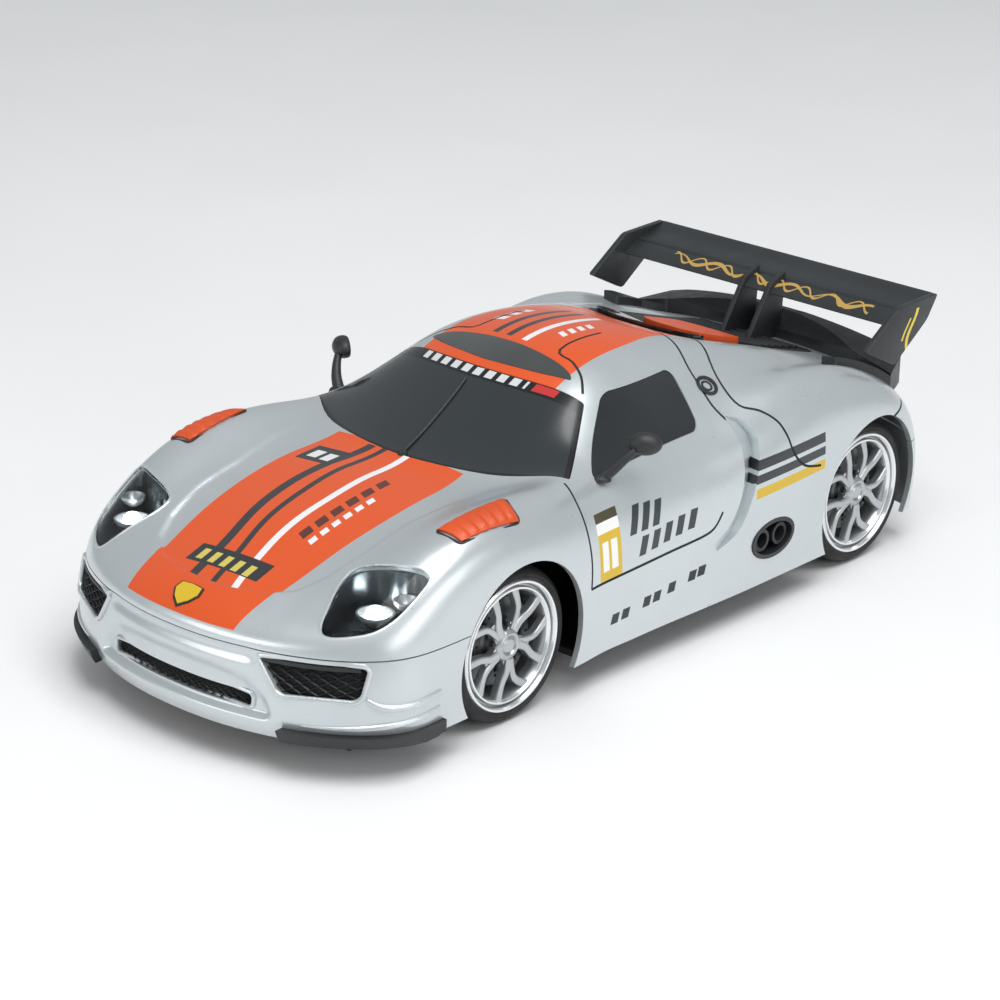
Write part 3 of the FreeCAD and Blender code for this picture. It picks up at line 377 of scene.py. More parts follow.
def clear_lens():
    g = Graph("clear_lamp_lens")
    rough = g.noise(200, 2.0, 0.02, 0.05)
    return g.set(Base_Color=(0.93, 0.96, 0.97, 1), Roughness=rough, Transmission_Weight=1.0,
                 IOR=1.2)


def lamp_bowl():
    """Smoky mirror of the lamp: rings round each light source."""
    g = Graph("smoky_lamp_bowl")
    across = g.do("SUBTRACT", g.do("ABSOLUTE", g.y), 49)
    along = g.do("SUBTRACT", g.x, 112)
    radius = g.do("SQRT", g.do("ADD", g.do("POWER", g.do("ABSOLUTE", across), 2),
                               g.do("POWER", g.do("ABSOLUTE", along), 2)))
    rings = g.do("SINE", g.do("MULTIPLY", radius, 4.2))
    g.bump(rings, 0.0002, 0.6)
    colour = g.mix(g.noise(60, 2.0), (0.05, 0.06, 0.065, 1), (0.16, 0.18, 0.19, 1))
    return g.set(Base_Color=colour, Roughness=g.noise(150, 2.0, 0.18, 0.3), Metallic=0.8)


def lit():
    g = Graph("lit_lamp")
    glow = g.mix(g.noise(300, 2.0), (0.95, 0.98, 1, 1), (1, 1, 1, 1))
    return g.set(Base_Color=glow, Emission_Color=glow, Emission_Strength=14.0,
                 Roughness=g.noise(90, 2.0, 0.2, 0.3))


def red_lamp():
    g = Graph("red_tail_lamp")
    ribs = g.do("SINE", g.do("MULTIPLY", g.y, 4.0))
    g.bump(ribs, 0.0002, 0.7)
    return g.set(Base_Color=tinted(g, (0.45, 0.008, 0.01), 0.25, 80),
                 Roughness=g.noise(100, 2.0, 0.1, 0.2), Coat_Weight=0.6)


def rim_metal(name, colour, roughness):
    g = Graph(name)
    g.bump(g.noise(7000, 1.0), 0.00001, 0.3)
    return g.set(Base_Color=tinted(g, colour, 0.06, 50), Metallic=0.85,
                 Roughness=g.noise(140, 3.0, roughness - 0.04, roughness + 0.06), Coat_Weight=0.2)


def tyre_rubber(name, axle_x):
    """Black rubber with fine cuts across the tread, set by the angle round its own axle."""
    g = Graph(name)
    across, upward = g.do("SUBTRACT", g.x, axle_x), g.do("SUBTRACT", g.z, AXLE_Z)
    angle = g.do("ARCTAN2", upward, across)
    radius = g.do("SQRT", g.do("ADD", g.do("MULTIPLY", across, across),
                               g.do("MULTIPLY", upward, upward)))
    tread = g.do("GREATER_THAN", radius, 20.9)
    cuts = g.do("GREATER_THAN", g.do("SINE", g.do("MULTIPLY_ADD", angle, 84,
                                                  g.do("MULTIPLY", g.y, 1.3))), 0.55)
    height = g.do("SUBTRACT", g.noise(2200, 3.0, 0, 0.15), g.all(tread, cuts))
    g.bump(height, 0.0004, 0.9)
    return g.set(Base_Color=tinted(g, (0.016, 0.016, 0.017), 0.25, 90),
                 Roughness=g.noise(160, 4.0, 0.5, 0.72), Specular_IOR_Level=0.4)


def ink_on_black(name, colour, marks):
    """Satin black plastic with a few hand-drawn strokes of coloured ink."""
    g = Graph(name)
    mask = marks(g)
    g.bump(g.noise(3000, 2.0), 0.00004)
    base = g.mix(mask, tinted(g, (0.02, 0.023, 0.025), 0.15, 40), colour)
    return g.set(Base_Color=base, Roughness=g.noise(220, 4.0, 0.32, 0.46))


def wing_strokes(g):
    """Crossing waves along the wing make a free brushed line, thick and thin."""
    wave = g.do("MULTIPLY_ADD", g.do("SINE", g.do("MULTIPLY", g.y, 0.42)), 1.5, -118.8)
    second = g.do("MULTIPLY_ADD", g.do("SINE", g.do("MULTIPLY_ADD", g.y, 0.61, 1.2)), 1.9, -118.9)
    thick = g.do("MULTIPLY_ADD", g.do("SINE", g.do("MULTIPLY", g.y, 0.23)), 0.3, 0.55)
    near = g.do("LESS_THAN", g.do("ABSOLUTE", g.do("SUBTRACT", g.x, wave)), thick)
    other = g.do("LESS_THAN", g.do("ABSOLUTE", g.do("SUBTRACT", g.x, second)), 0.4)
    return g.all(g.any(near, other), g.between(g.y, -36, 42), g.do("GREATER_THAN", g.z, 70.8))


def plate_strokes(g):
    """Two curved yellow flicks on the outer face of the wing's end plates."""
    bend = g.do("MULTIPLY_ADD", g.do("SINE", g.do("MULTIPLY", g.do("SUBTRACT", g.z, 59), 0.28)),
                2.6, -122.5)
    first = g.all(g.do("LESS_THAN", g.do("ABSOLUTE", g.do("SUBTRACT", g.x, bend)), 0.7),
                  g.between(g.z, 62, 75))
    beside = g.do("LESS_THAN", g.do("ABSOLUTE", g.do("SUBTRACT", g.x, g.do("ADD", bend, 2.6))),
                  0.45)
    second = g.all(beside, g.between(g.z, 66, 72.5))
    return g.all(g.any(first, second), g.do("GREATER_THAN", g.do("ABSOLUTE", g.y), 54.6))


smoked_dark = smoked("smoked_side_glass")
roof_dark = smoked("smoked_roof_lens", (0.05, 0.055, 0.055), 0.22)
windscreen_dark = screen_glass()
lens_clear, bowl_smoky, lamp_lit, lamp_red = clear_lens(), lamp_bowl(), lit(), red_lamp()
rim_silver = rim_metal("satin_rim_silver", (0.5, 0.52, 0.53), 0.3)
rim_bright = rim_metal("bright_rim_edge", (0.85, 0.86, 0.87), 0.16)
rubber = {end: tyre_rubber(f"tyre_rubber_{end}", AXLES[end]) for end in ("rear", "front")}
wing_ink = ink_on_black("black_wing_with_strokes", (0.48, 0.3, 0.07, 1), wing_strokes)
plate_ink = ink_on_black("black_plate_with_strokes", (0.78, 0.6, 0.05, 1), plate_strokes)
orange_plastic = moulded("orange_plastic", (0.60, 0.072, 0.009), 0.35, 2600)
# Painted shade: a near-black colour for the walls of the fine seams, standing in for the shadow inside
# them.
seam_shadow = moulded("seam_shadow", (0.03, 0.032, 0.034), 0.7)
plain_silver = moulded("silver_plastic", (0.60, 0.645, 0.66), 0.3, 6000, 0.00001, 0.04,
                       Metallic=0.6,
                       Coat_Weight=0.3)
badge_yellow = moulded("badge_yellow", (0.68, 0.46, 0.02), 0.3)
print("finishes:", len(bpy.data.materials))

# %% [markdown]
# ## From a few hand-placed points to a body
# The real shell is one thin moulding. Its shape is easiest to hold as a coarse net of points, 26
# rows along the car and half of each row listed, which a Subdivision Surface rounds into a smooth
# skin. The same net, sunk by the wall's thickness, gives the inside. Sculpting would be freer but
# harder to keep symmetric, and it would not match the frame.

# %% The body net, in millimetres
ROWS = [
    # nose bottom edge
    [(136, 0, 10), (135.5, 13, 10), (133, 26, 10), (129, 38, 10), (122, 50, 10),
     (112, 59.5, 10), (104, 61.5, 10), (100, 61.5, 10), (97, 61, 10)],
    # bumper bottom
    [(138.5, 0, 15), (138, 13, 15), (135.5, 26, 15), (131.5, 38.5, 15), (124.5, 52, 15),
     (114, 62, 15), (104, 63, 14), (99, 62, 12.5), (96, 61.5, 10)],
    # bumper channel
    [(137, 0, 25), (136.5, 13, 25), (134, 26, 25), (130, 38.5, 25), (124, 52, 25),
     (113, 62, 25), (102, 63.5, 22), (96, 62.5, 16), (92, 61.5, 10)],
    # bumper top
    [(137, 0, 33), (136.5, 13, 33), (133.5, 26, 33), (129.5, 38, 33), (123, 50.5, 33),
     (112, 61, 33.5), (100, 63, 28), (91, 61.5, 19), (86, 61.5, 10)],
    # nose edge
    [(137.5, 0, 37.5), (137, 13, 37.5), (134, 26, 37.5), (129, 38, 38), (122, 49.5, 39),
     (110, 60.5, 40), (96, 63, 34), (84, 61.5, 21), (79, 61.5, 10)],
    # hood lip
    [(129, 0, 43.5), (128.5, 13, 43.5), (125.5, 26, 42.5), (121.5, 38, 42.5), (115, 49, 45),
     (104, 60, 47), (89, 63, 39), (76, 61.5, 23), (71, 61.5, 10)],
    # hood front
    [(114, 0, 48.3), (113.5, 13, 47.9), (112, 27, 47.4), (109, 38, 48.8), (104, 49, 52),
     (94, 60, 54), (80, 63, 43), (69, 61.5, 25), (64, 61.5, 10)],
    # hood, ahead of the wheels
    [(97, 0, 53.6), (96.5, 13, 53.2), (95, 28, 52.6), (94, 39, 55), (91, 49.5, 59.5),
     (83, 60, 58), (72, 63, 45), (64, 61.5, 26), (59, 61.5, 10)],
    # hood, over the front axle
    [(80, 0, 57), (80, 14, 56.8), (79, 29, 56), (78, 40, 58.3), (76, 49.5, 63),
     (71, 60, 59.5), (64, 63, 46), (57, 61.5, 26), (53, 61.5, 10)],
    # hood, behind the wheels
    [(64, 0, 59.2), (64, 14, 59), (63, 30, 58.2), (62, 40.5, 60), (60, 50, 64),
     (57, 59.5, 58.5), (53, 63, 45), (48, 61.5, 26), (44, 61, 10)],
    # windscreen foot
    [(52, 0, 58.6), (51.5, 15, 58.4), (49, 31, 58), (47, 41, 59), (46, 50, 63),
     (45, 58.5, 56), (42, 62, 43), (38, 61, 25), (35, 60.5, 10)],
    # windscreen low
    [(41, 0, 63.5), (40, 15, 63.5), (36.5, 31, 62), (34, 41.5, 60.5), (33, 49.5, 60.5),
     (33, 56.5, 53.5), (32, 60, 40.5), (29, 60, 24.5), (27, 59.5, 10)],
    # windscreen middle
    [(26, 0, 71.5), (25, 15, 71), (22, 31, 69.5), (20, 42.5, 64.5), (19, 50.5, 59),
     (19, 56.5, 52), (19, 59.5, 39.5), (17, 60, 24), (16, 60, 10)],
    # windscreen top
    [(12, 0, 79.4), (11.5, 15, 78.8), (9, 30.5, 76.3), (7, 42, 67), (6, 51, 58.5),
     (6, 57, 51), (6, 59.5, 39), (5, 60, 24), (4, 60, 10)],
    # roof front
    [(-4, 0, 84), (-4, 14, 83.3), (-5, 29.5, 80.4), (-6, 40.5, 70), (-7, 50.5, 58.5),
     (-7, 57, 51), (-7, 59.5, 39.5), (-7, 60, 24), (-7, 60.5, 10)],
    # roof peak
    [(-22, 0, 83.5), (-22, 14, 82.8), (-22, 29, 79.8), (-22, 40, 70), (-22, 50.5, 59.5),
     (-22, 57.5, 52.5), (-22, 60.5, 41), (-21, 61, 25), (-20, 61, 10)],
    # roof rear
    [(-42, 0, 79), (-42, 14, 78.8), (-41, 29, 77.5), (-40, 40.5, 69), (-40, 50.5, 63),
     (-39, 59, 56.5), (-38, 62, 45), (-36, 62, 27), (-34, 61.5, 10)],
    # deck front
    [(-60, 0, 70.5), (-60, 14, 70.5), (-59, 29, 74.5), (-58, 41, 66), (-58, 51, 68.5),
     (-57, 60, 60), (-56, 63, 48), (-54, 62.5, 29), (-52, 61.5, 10)],
    # deck, ahead of the wheels
    [(-78, 0, 63.5), (-78, 14, 63.5), (-77, 29, 70), (-77, 41, 63), (-76, 51, 69),
     (-76, 60.5, 61), (-75, 63, 49), (-73, 62.5, 29), (-71, 61.5, 10)],
    # deck, over the rear axle
    [(-96, 0, 58.5), (-96, 14, 58.5), (-95, 29, 63), (-95, 41, 59.5), (-94, 51, 65),
     (-93, 60.5, 59), (-92, 63, 48), (-90, 62.5, 29), (-88, 61.5, 10)],
    # deck rear
    [(-113, 0, 56), (-113, 14, 55.5), (-112, 29, 56), (-111, 41, 55), (-109, 51, 57.5),
     (-107, 60, 53), (-105, 62, 45), (-103, 61.5, 29), (-101, 60.5, 10)],
    # tail edge
    [(-127, 0, 54.5), (-127, 14, 54), (-126, 29, 52.5), (-124, 41, 51), (-121, 51, 49.5),
     (-118, 58.5, 46), (-116, 60.5, 40), (-114, 60, 27), (-110, 59.5, 10)],
    # tail upper
    [(-136, 0, 48), (-136, 14, 47.5), (-134.5, 29, 46), (-132, 41, 44.5), (-128, 51, 42.5),
     (-124, 57.5, 39), (-121, 59.5, 34), (-119, 59.5, 24), (-115, 59, 10)],
    # tail middle
    [(-138.5, 0, 34), (-138, 14, 34), (-136.5, 29, 34), (-134, 41, 34), (-130, 51, 33),
     (-126, 57.5, 31), (-124, 59, 27), (-122, 59, 20), (-119, 58.5, 10)],
    # tail lower
    [(-137, 0, 20), (-136.5, 14, 20), (-135, 29, 20), (-132.5, 41, 20), (-129.5, 50.5, 20),
     (-126.5, 56.5, 19), (-125, 58, 17), (-124, 58, 14), (-122, 58, 10)],
    # tail bottom edge
    [(-133, 0, 10), (-133, 14, 10), (-132, 28, 10), (-130, 40, 10), (-128.5, 48, 10),
     (-127, 54, 10), (-126, 56, 10), (-125, 57, 10), (-124, 57.5, 10)],
]
WALL, FLOOR = 1.8, 10.0


def body_net(sink, bottom):
    """The net for both sides, sunk inwards along its own normals; its border stays at the bottom."""
    net = [[Vector((x, -y, z)) for x, y,
            z in reversed(row[1:])] + [Vector(p) for p in row] for row in ROWS]
    last_row, last_column = len(net) - 1, len(net[0]) - 1
    moved = []
    for i, row in enumerate(net):
        line = []
        for j, point in enumerate(row):
            along = net[min(i + 1, last_row)][j] - net[max(i - 1, 0)][j]
            across = row[min(j + 1, last_column)] - row[max(j - 1, 0)]
            spot = point - across.cross(along).normalized() * sink
            if i in (0, last_row) or j in (0, last_column):
                spot.z = bottom
            line.append(spot)
        moved.append(line)
    return moved


def scratch_object(bm):
    """A helper object in the scene, for a modifier to work on."""
    mesh = bpy.data.meshes.new("scratch")
    bm.to_mesh(mesh)
    thing = bpy.data.objects.new("scratch", mesh)
    scene.collection.objects.link(thing)
    return thing


def evaluated(thing):
    """The mesh of an object with its modifiers applied, as a bmesh; the object is removed."""
    graph = bpy.context.evaluated_depsgraph_get()
    mesh = bpy.data.meshes.new_from_object(thing.evaluated_get(graph))
    bm = bmesh.new()
    bm.from_mesh(mesh)
    bpy.data.meshes.remove(mesh)
    bpy.data.objects.remove(thing)
    return bm


def smooth_skin(sink, level, bottom=FLOOR):
    """The net, rounded: an open sheet from sill to sill, facing outwards."""
    net = body_net(sink, bottom)
    rows, columns = len(net) - 1, len(net[0]) - 1
    bm = bmesh.new()
    bmesh.ops.create_grid(bm, x_segments=rows, y_segments=columns, size=1)
    for vert in bm.verts:
        vert.co = net[round((vert.co.x + 1) / 2 * rows)][round((vert.co.y + 1) / 2 * columns)]
    bmesh.ops.recalc_face_normals(bm, faces=bm.faces)
    crown = max(bm.faces, key=lambda face: face.calc_center_median().z)
    if crown.normal.z < 0:
        bmesh.ops.reverse_faces(bm, faces=bm.faces)
    thing = scratch_object(bm)
    rounding = thing.modifiers.new("round", "SUBSURF")
    rounding.levels = rounding.render_levels = level
    rounding.boundary_smooth = "PRESERVE_CORNERS"
    return evaluated(thing)


# %% [markdown]
# ## Pressed-in forms
# The hood is a separate-looking panel that lies a little lower than the fenders, with a soft step
# at its front. The bumper has a hollow band below the nose and a funnel round its long slot. These
# are pushed into the smooth skin by rules on position, applied to the outside and the inside alike,
# so that the wall keeps its thickness.

# %% Dents in the skin
HOOD_EDGE = [(125.6, 0), (124.6, 10), (121.6, 19.5), (116.5, 27), (108, 31.2), (95.6, 33.6),
             (80, 33.6), (67, 35.6), (56.7, 37.2), (44, 39)]
FUNNEL_TOP = [(0, 29.4), (15, 29.2), (24, 28.4), (28, 26.6), (31, 23.4), (34.5, 19)]
FUNNEL_RIM = [(0, 24), (13, 23.9), (20, 23.0), (24, 21.6), (28, 18.6), (34.5, 15)]


def along_line(value, points):
    """Height at a position along a line of (position, height) points."""
    for (a, low), (b, high) in zip(points, points[1:]):
        if min(a, b) <= value <= max(a, b):
            return low + (high - low) * (value - a) / (b - a)
    return points[0][1] if abs(value - points[0][0]) < abs(value - points[-1][0]) else points[-1][1]


def ease(share):
    """0 to 1 with a soft start and a soft end."""
    share = min(1.0, max(0.0, share))
    return share * share * (3 - 2 * share)


def gap_to(point, line):
    """Distance in plan from a point to a line through several points."""
    best = 1e9
    for a, b in zip(line, line[1:]):
        share = geometry.intersect_point_line(point, a, b)[1]
        best = min(best, (point - a.lerp(b, min(1.0, max(0.0, share)))).length)
    return best


hood_line = [Vector(p) for p in HOOD_EDGE]


def pressed(spot):
    """Sink the hood panel below the fenders; push the nose channel and the slot's funnel inwards."""
    side = abs(spot.y)
    if spot.z > 42 and 46 < spot.x < 127 and side < 40:
        if side < along_line(spot.x, HOOD_EDGE):
            reach = gap_to(Vector((spot.x, side)), hood_line)
            depth = 0.6 + 0.7 * ease((spot.x - 95) / 25)
            spot.z -= depth * ease(reach / 1.6) * ease((spot.x - 48) / 14)
    if spot.x > 112 and side < 35 and spot.z < 36.5:
        hollow = math.sin(math.pi * min(1.0, max(0.0, (spot.z - 29) / 6.8))) ** 2
        push = 1.1 * hollow * ease((30 - side) / 6)
        top, rim = along_line(side, FUNNEL_TOP), along_line(side, FUNNEL_RIM)
        push += (2.2 * ease((top - spot.z) / (top - rim)) * ease((spot.z - 14.6) / 2.2)
                 * ease((34 - side) / 4))
        spot.x -= push
    return spot


def solid_body(sink, level, bottom=FLOOR, dents=True):
    """The whole body as a closed block, its underside filled flat."""
    bm = smooth_skin(sink, level, bottom)
    if dents:
        for vert in bm.verts:
            vert.co = pressed(vert.co)
    bmesh.ops.holes_fill(bm, edges=[edge for edge in bm.edges if edge.is_boundary], sides=0)
    return bm


skin = smooth_skin(0, 4)
for vert in skin.verts:
    vert.co = pressed(vert.co)
skin.normal_update()
skin_tree = bvhtree.BVHTree.FromBMesh(skin)
skin.faces.ensure_lookup_table()
print("skin faces:", len(skin.faces))

# %% [markdown]
# ## Cutting tools
# Openings are cut the way a toolmaker would describe them: an outline in plan or in side view,
# pushed through the skin. Prisms are drawn as a few corners, rounded with a vertex bevel and
# extruded. Seams between panels are thin tubes laid along the skin and taken away from it.


# %% Outline, prism, tube and boolean helpers
def through(points, closed=False, steps=7):
    """A smooth line through a few given points."""
    line = [Vector(p) for p in points]
    count = len(line)
    result = []
    for i in range(count if closed else count - 1):
        a, b = line[i], line[(i + 1) % count]
        before = line[i - 1] if closed or i > 0 else a
        after = line[(i + 2) % count] if closed or i + 2 < count else b
        result += geometry.interpolate_bezier(a, a + (b - before) / 6, b - (after - a) / 6, b,
                                              steps)[:-1]
    if not closed:
        result.append(line[-1])
    return result


CLEAR = 200  # a height or a distance well outside the car


def on_skin(point, lift=0.0):
    """The nearest spot of the skin, lifted along its normal."""
    spot, normal, index, gap = skin_tree.find_nearest(point)
    return spot + normal * lift


def down_on_skin(x, y, lift=0.0):
    """The skin straight below a plan position."""
    spot, normal, index, gap = skin_tree.ray_cast(Vector((x, y, CLEAR)), Vector((0, 0, -1)))
    return spot + normal * lift


def outline(corners, corner_radius=0.0, shrink=0.0):
    """One face between the corners, drawn in by shrink, with its corners rounded."""
    bm = bmesh.new()
    middle = sum((Vector(c) for c in corners), Vector()) / len(corners)
    reach = sum((Vector(c) - middle).length for c in corners) / len(corners)
    size = 1 - shrink / reach
    bm.faces.new([bm.verts.new(middle + (Vector(c) - middle) * size) for c in corners])
    if corner_radius:
        bmesh.ops.bevel(bm, geom=bm.verts[:], offset=corner_radius, affect="VERTICES", segments=5,
                        profile=0.5, material=-1, clamp_overlap=True)
    return bm


def thickened(bm, push):
    """The face extruded by push, closed and facing outwards."""
    pushed = bmesh.ops.extrude_face_region(bm, geom=bm.faces[:])
    bmesh.ops.translate(bm, vec=Vector(push),
                        verts=[v for v in pushed["geom"] if isinstance(v, bmesh.types.BMVert)])
    bmesh.ops.recalc_face_normals(bm, faces=bm.faces)
    return bm


def prism(corners, push, corner_radius=0.0, shrink=0.0):
    return thickened(outline(corners, corner_radius, shrink), push)


def mirrored(bm):
    """The same shape on the right side of the car."""
    other = bm.copy()
    bmesh.ops.scale(other, vec=(1, -1, 1), verts=other.verts)
    bmesh.ops.reverse_faces(other, faces=other.faces)
    return other


def joined(*parts):
    """Several shapes in one bmesh, untouched."""
    result = bmesh.new()
    for part in parts:
        mesh = bpy.data.meshes.new("scratch")
        part.to_mesh(mesh)
        result.from_mesh(mesh)
        bpy.data.meshes.remove(mesh)
    return result


def both(bm):
    """A left piece together with its mirror image."""
    return joined(bm, mirrored(bm))


SIDES = (("left", bmesh.types.BMesh.copy), ("right", mirrored))


def carved(bm, tools, operation="DIFFERENCE"):
    """bm with each tool taken away from it, or kept only where it meets the tool."""
    thing = scratch_object(bm)
    helpers = []
    for tool in tools:
        helper = scratch_object(tool)
        cut = thing.modifiers.new("cut", "BOOLEAN")
        cut.operation, cut.object, cut.solver = operation, helper, "MANIFOLD"
        helpers.append(helper)
    result = evaluated(thing)
    for helper in helpers:
        bpy.data.objects.remove(helper)
    return result


def tube(points, radius, sides=2, ends=True, closed=False, radii=None):
    """A round bar along a line, closed at its ends."""
    data = bpy.data.curves.new("scratch", "CURVE")
    data.dimensions = "3D"
    data.bevel_depth, data.bevel_resolution, data.use_fill_caps = radius, sides, ends
    spline = data.splines.new("POLY")
    spline.points.add(len(points) - 1)
    for i, (place, point) in enumerate(zip(spline.points, points)):
        place.co = (*point, 1)
        place.radius = radii[i] if radii else 1.0
    spline.use_cyclic_u = closed
    thing = bpy.data.objects.new("scratch", data)
    scene.collection.objects.link(thing)
    bm = evaluated(thing)
    bmesh.ops.remove_doubles(bm, verts=bm.verts, dist=0.0001)
    bmesh.ops.recalc_face_normals(bm, faces=bm.faces)
    return bm


def loft(sections):
    """A closed shape through a row of sections, each a ring of points."""
    bm = bmesh.new()
    rings = []
    for section in sections:
        ring = [bm.verts.new(p) for p in section]
        rings.append([bm.edges.new((a, b)) for a, b in zip(ring, ring[1:] + ring[:1])])
    for first, second in zip(rings, rings[1:]):
        bmesh.ops.bridge_loops(bm, edges=first + second)
    bmesh.ops.holes_fill(bm, edges=[edge for edge in bm.edges if edge.is_boundary], sides=0)
    bmesh.ops.recalc_face_normals(bm, faces=bm.faces)
    return bm


def slab(low, high):
    """A plain block between two corners."""
    x0, y0, z0 = low
    x1, y1, z1 = high
    return prism([(x0, y0, z0), (x1, y0, z0), (x1, y1, z0), (x0, y1, z0)], (0, 0, z1 - z0))


# %% [markdown]
# ## Finishing a piece
# Every new piece ends the same way: it is scaled from millimetres to metres, gets its finish, is
# parented to the body it rides on, and the CAD pieces it stands for are hidden. Parts cut from the
# skin also borrow the skin's own normals, so that the cuts leave no ripples in the reflections.


# %% The finishing helper
BLACK = (black_trim, "black_plastic")
SHARP = math.radians(32)
SHELL_REACH, PANE_REACH = 0.06, 0.8  # how far below the skin a face still borrows its normals
GROOVE_FLOOR = (0.07, 0.6)  # the depths that belong to a seam
SLIVER = 0.03  # a boolean leaves edges shorter than this; they are dissolved
FACING = 0.8  # a face turned further from the skin than this keeps its own normals


def skin_normals(mesh, reach):
    """Corner normals of the smooth skin wherever a face lies within reach (mm) of it.

    Where a piece has a second material, the faces of its fine grooves get it: a near-black painted
    shade for the shadow inside the seams."""
    mesh.set_sharp_from_angle(angle=SHARP)
    corners = [Vector(corner.vector) for corner in mesh.corner_normals]
    near = []
    for vert in mesh.vertices:
        spot, normal, index, gap = skin_tree.find_nearest(vert.co * 1000)
        face = skin.faces[index]
        weights = interpolate.poly_3d_calc([v.co for v in face.verts], spot)
        soft = sum((v.normal * w for v, w in zip(face.verts, weights)), Vector()).normalized()
        near.append((soft, gap))
    for face in mesh.polygons:
        gaps = [near[i][1] for i in face.vertices]
        # Faces at seam depth take the second material, the painted seam shade.
        if len(mesh.materials) > 1 and GROOVE_FLOOR[0] < max(gaps) < GROOVE_FLOOR[1]:
            face.material_index = 1
        if max(gaps) > reach:
            continue
        for corner, i in zip(face.loop_indices, face.vertices):
            if max(gaps) < SHELL_REACH or face.normal.dot(near[i][0]) > FACING:
                corners[corner] = near[i][0]
    mesh.normals_split_custom_set(corners)


def finished(name, bm, material, slot, nodes=(), body="chassis", from_skin=0.0, groove_shade=None):
    """Scale to metres, give the finish, parent the piece to the body it rides on, and hide the CAD
    pieces it stands for.
    """
    if from_skin:
        bmesh.ops.dissolve_degenerate(bm, dist=SLIVER, edges=bm.edges)
    bmesh.ops.scale(bm, vec=(0.001, 0.001, 0.001), verts=bm.verts)
    mesh = bpy.data.meshes.new(name)
    bm.to_mesh(mesh)
    bm.free()
    mesh.polygons.foreach_set("use_smooth", [True] * len(mesh.polygons))
    mesh.materials.clear()
    mesh.materials.append(material)
    if groove_shade:
        mesh.materials.append(groove_shade)
    if from_skin:
        skin_normals(mesh, from_skin)
    else:
        mesh.set_sharp_from_angle(angle=SHARP)
    piece = bpy.data.objects.new(name, mesh)
    scene.collection.objects.link(piece)
    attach(piece, body)
    if nodes:
        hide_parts(*nodes)
    print(name, len(mesh.polygons), "faces")
    return piece

# %% [markdown]
# ## The openings
# Windscreen, side windows, lamps, grilles, exhausts, tail lamps and wheel arches are the same
# outlines as in the frame. The windows sit flush in their holes with a hair of shadow round them,
# which is what makes the separate mouldings read as separate.


# %% Openings
def windscreen(shrink=0.0):
    foot = through([(31.5, -48.6, 45), (44.4, -30, 45), (50.2, 0, 45), (44.4, 30, 45),
                    (31.5, 48.6, 45)])
    top = through([(8.5, 34, 45), (13.3, 17, 45), (15, 0, 45), (13.3, -17, 45), (8.5, -34, 45)])
    return prism(foot + top, (0, 0, 50), 0.8, shrink)


def side_window(shrink=0.0):
    points = [(24.5, 20, 58.2), (1.5, 20, 74.2), (-29, 20, 74.2), (-24.6, 20, 60.3)]
    return prism(points, (0, 50, 0), 3.0, shrink)


LAMP = [(123.2, 42.5), (117.5, 51.3), (110, 55.8), (100, 57), (96, 55.6), (98.6, 48), (101.8, 37.2),
        (107, 35.2), (115, 37.8)]
GRILLE = [(28.5, 33.2), (55, 33.2), (54.3, 23.8), (35, 23.2)]
SLOT = [(-26, 17), (26, 17), (26, 21.4), (-26, 21.4)]
EXHAUST = [(-56.8 + 9.8 + 10.2 * math.cos(t), 23.6 + 6.2 * math.sin(t))
           for t in (math.tau * k / 28 for k in range(28))]
VENT = [(84.5, 47.5), (84, 55.5), (63, 57.5), (60.2, 49.5)]


def headlamp(shrink=0.0):
    return prism(through([(x, y, 37) for x, y in LAMP], closed=True), (0, 0, 29), 0, shrink)


def side_grille(shrink=0.0):
    return prism([(100, y, z) for y, z in GRILLE], (45, 0, 0), 2.2, shrink)


def centre_slot(shrink=0.0):
    return prism([(110, y, z) for y, z in SLOT], (35, 0, 0), 1.6, shrink)


def engine_bay(shrink=0.0):
    return prism([(-56, -21, 40), (-56, 21, 40), (-117, 24, 40), (-117, -24, 40)], (0, 0, 50), 4,
                 shrink)


def exhaust_hole(shrink=0.0):
    return prism([(x, 46, z) for x, z in EXHAUST], (0, 20, 0), 0, shrink)


def tail_lamp(shrink=0.0):
    return prism([(-140, 26, 37), (-140, 49, 37), (-140, 49, 42.5), (-140, 26, 42.5)], (26, 0, 0),
                 2.7, shrink)


def round_bar(x, z, y_low, y_high, radius, sides=64):
    """A cylinder across the car."""
    bm = bmesh.new()
    bmesh.ops.create_cone(bm, cap_ends=True, segments=sides, radius1=radius, radius2=radius,
                          depth=y_high - y_low)
    bmesh.ops.rotate(bm, matrix=Matrix.Rotation(math.radians(90), 3, "X"), verts=bm.verts)
    bmesh.ops.translate(bm, vec=(x, (y_low + y_high) / 2, z), verts=bm.verts)
    return bm


left_tools = [side_window(), headlamp(), side_grille(), exhaust_hole(), tail_lamp()]
left_tools += [round_bar(x, AXLE_Z, 44, 74, 25.6, 128) for x in AXLES.values()]
openings = [windscreen(), engine_bay(), centre_slot()]
for tool in left_tools:
    openings += [tool, mirrored(tool)]
print("openings:", len(openings))

# %% [markdown]
# ## Seams and the side scoop
# Doors, hood and roof panel are drawn on the one moulding as fine grooves. The scoop behind each
# door deepens from a line on the door to the sharp front edge of the rear fender, so it is a wedge
# lofted between those two lines.

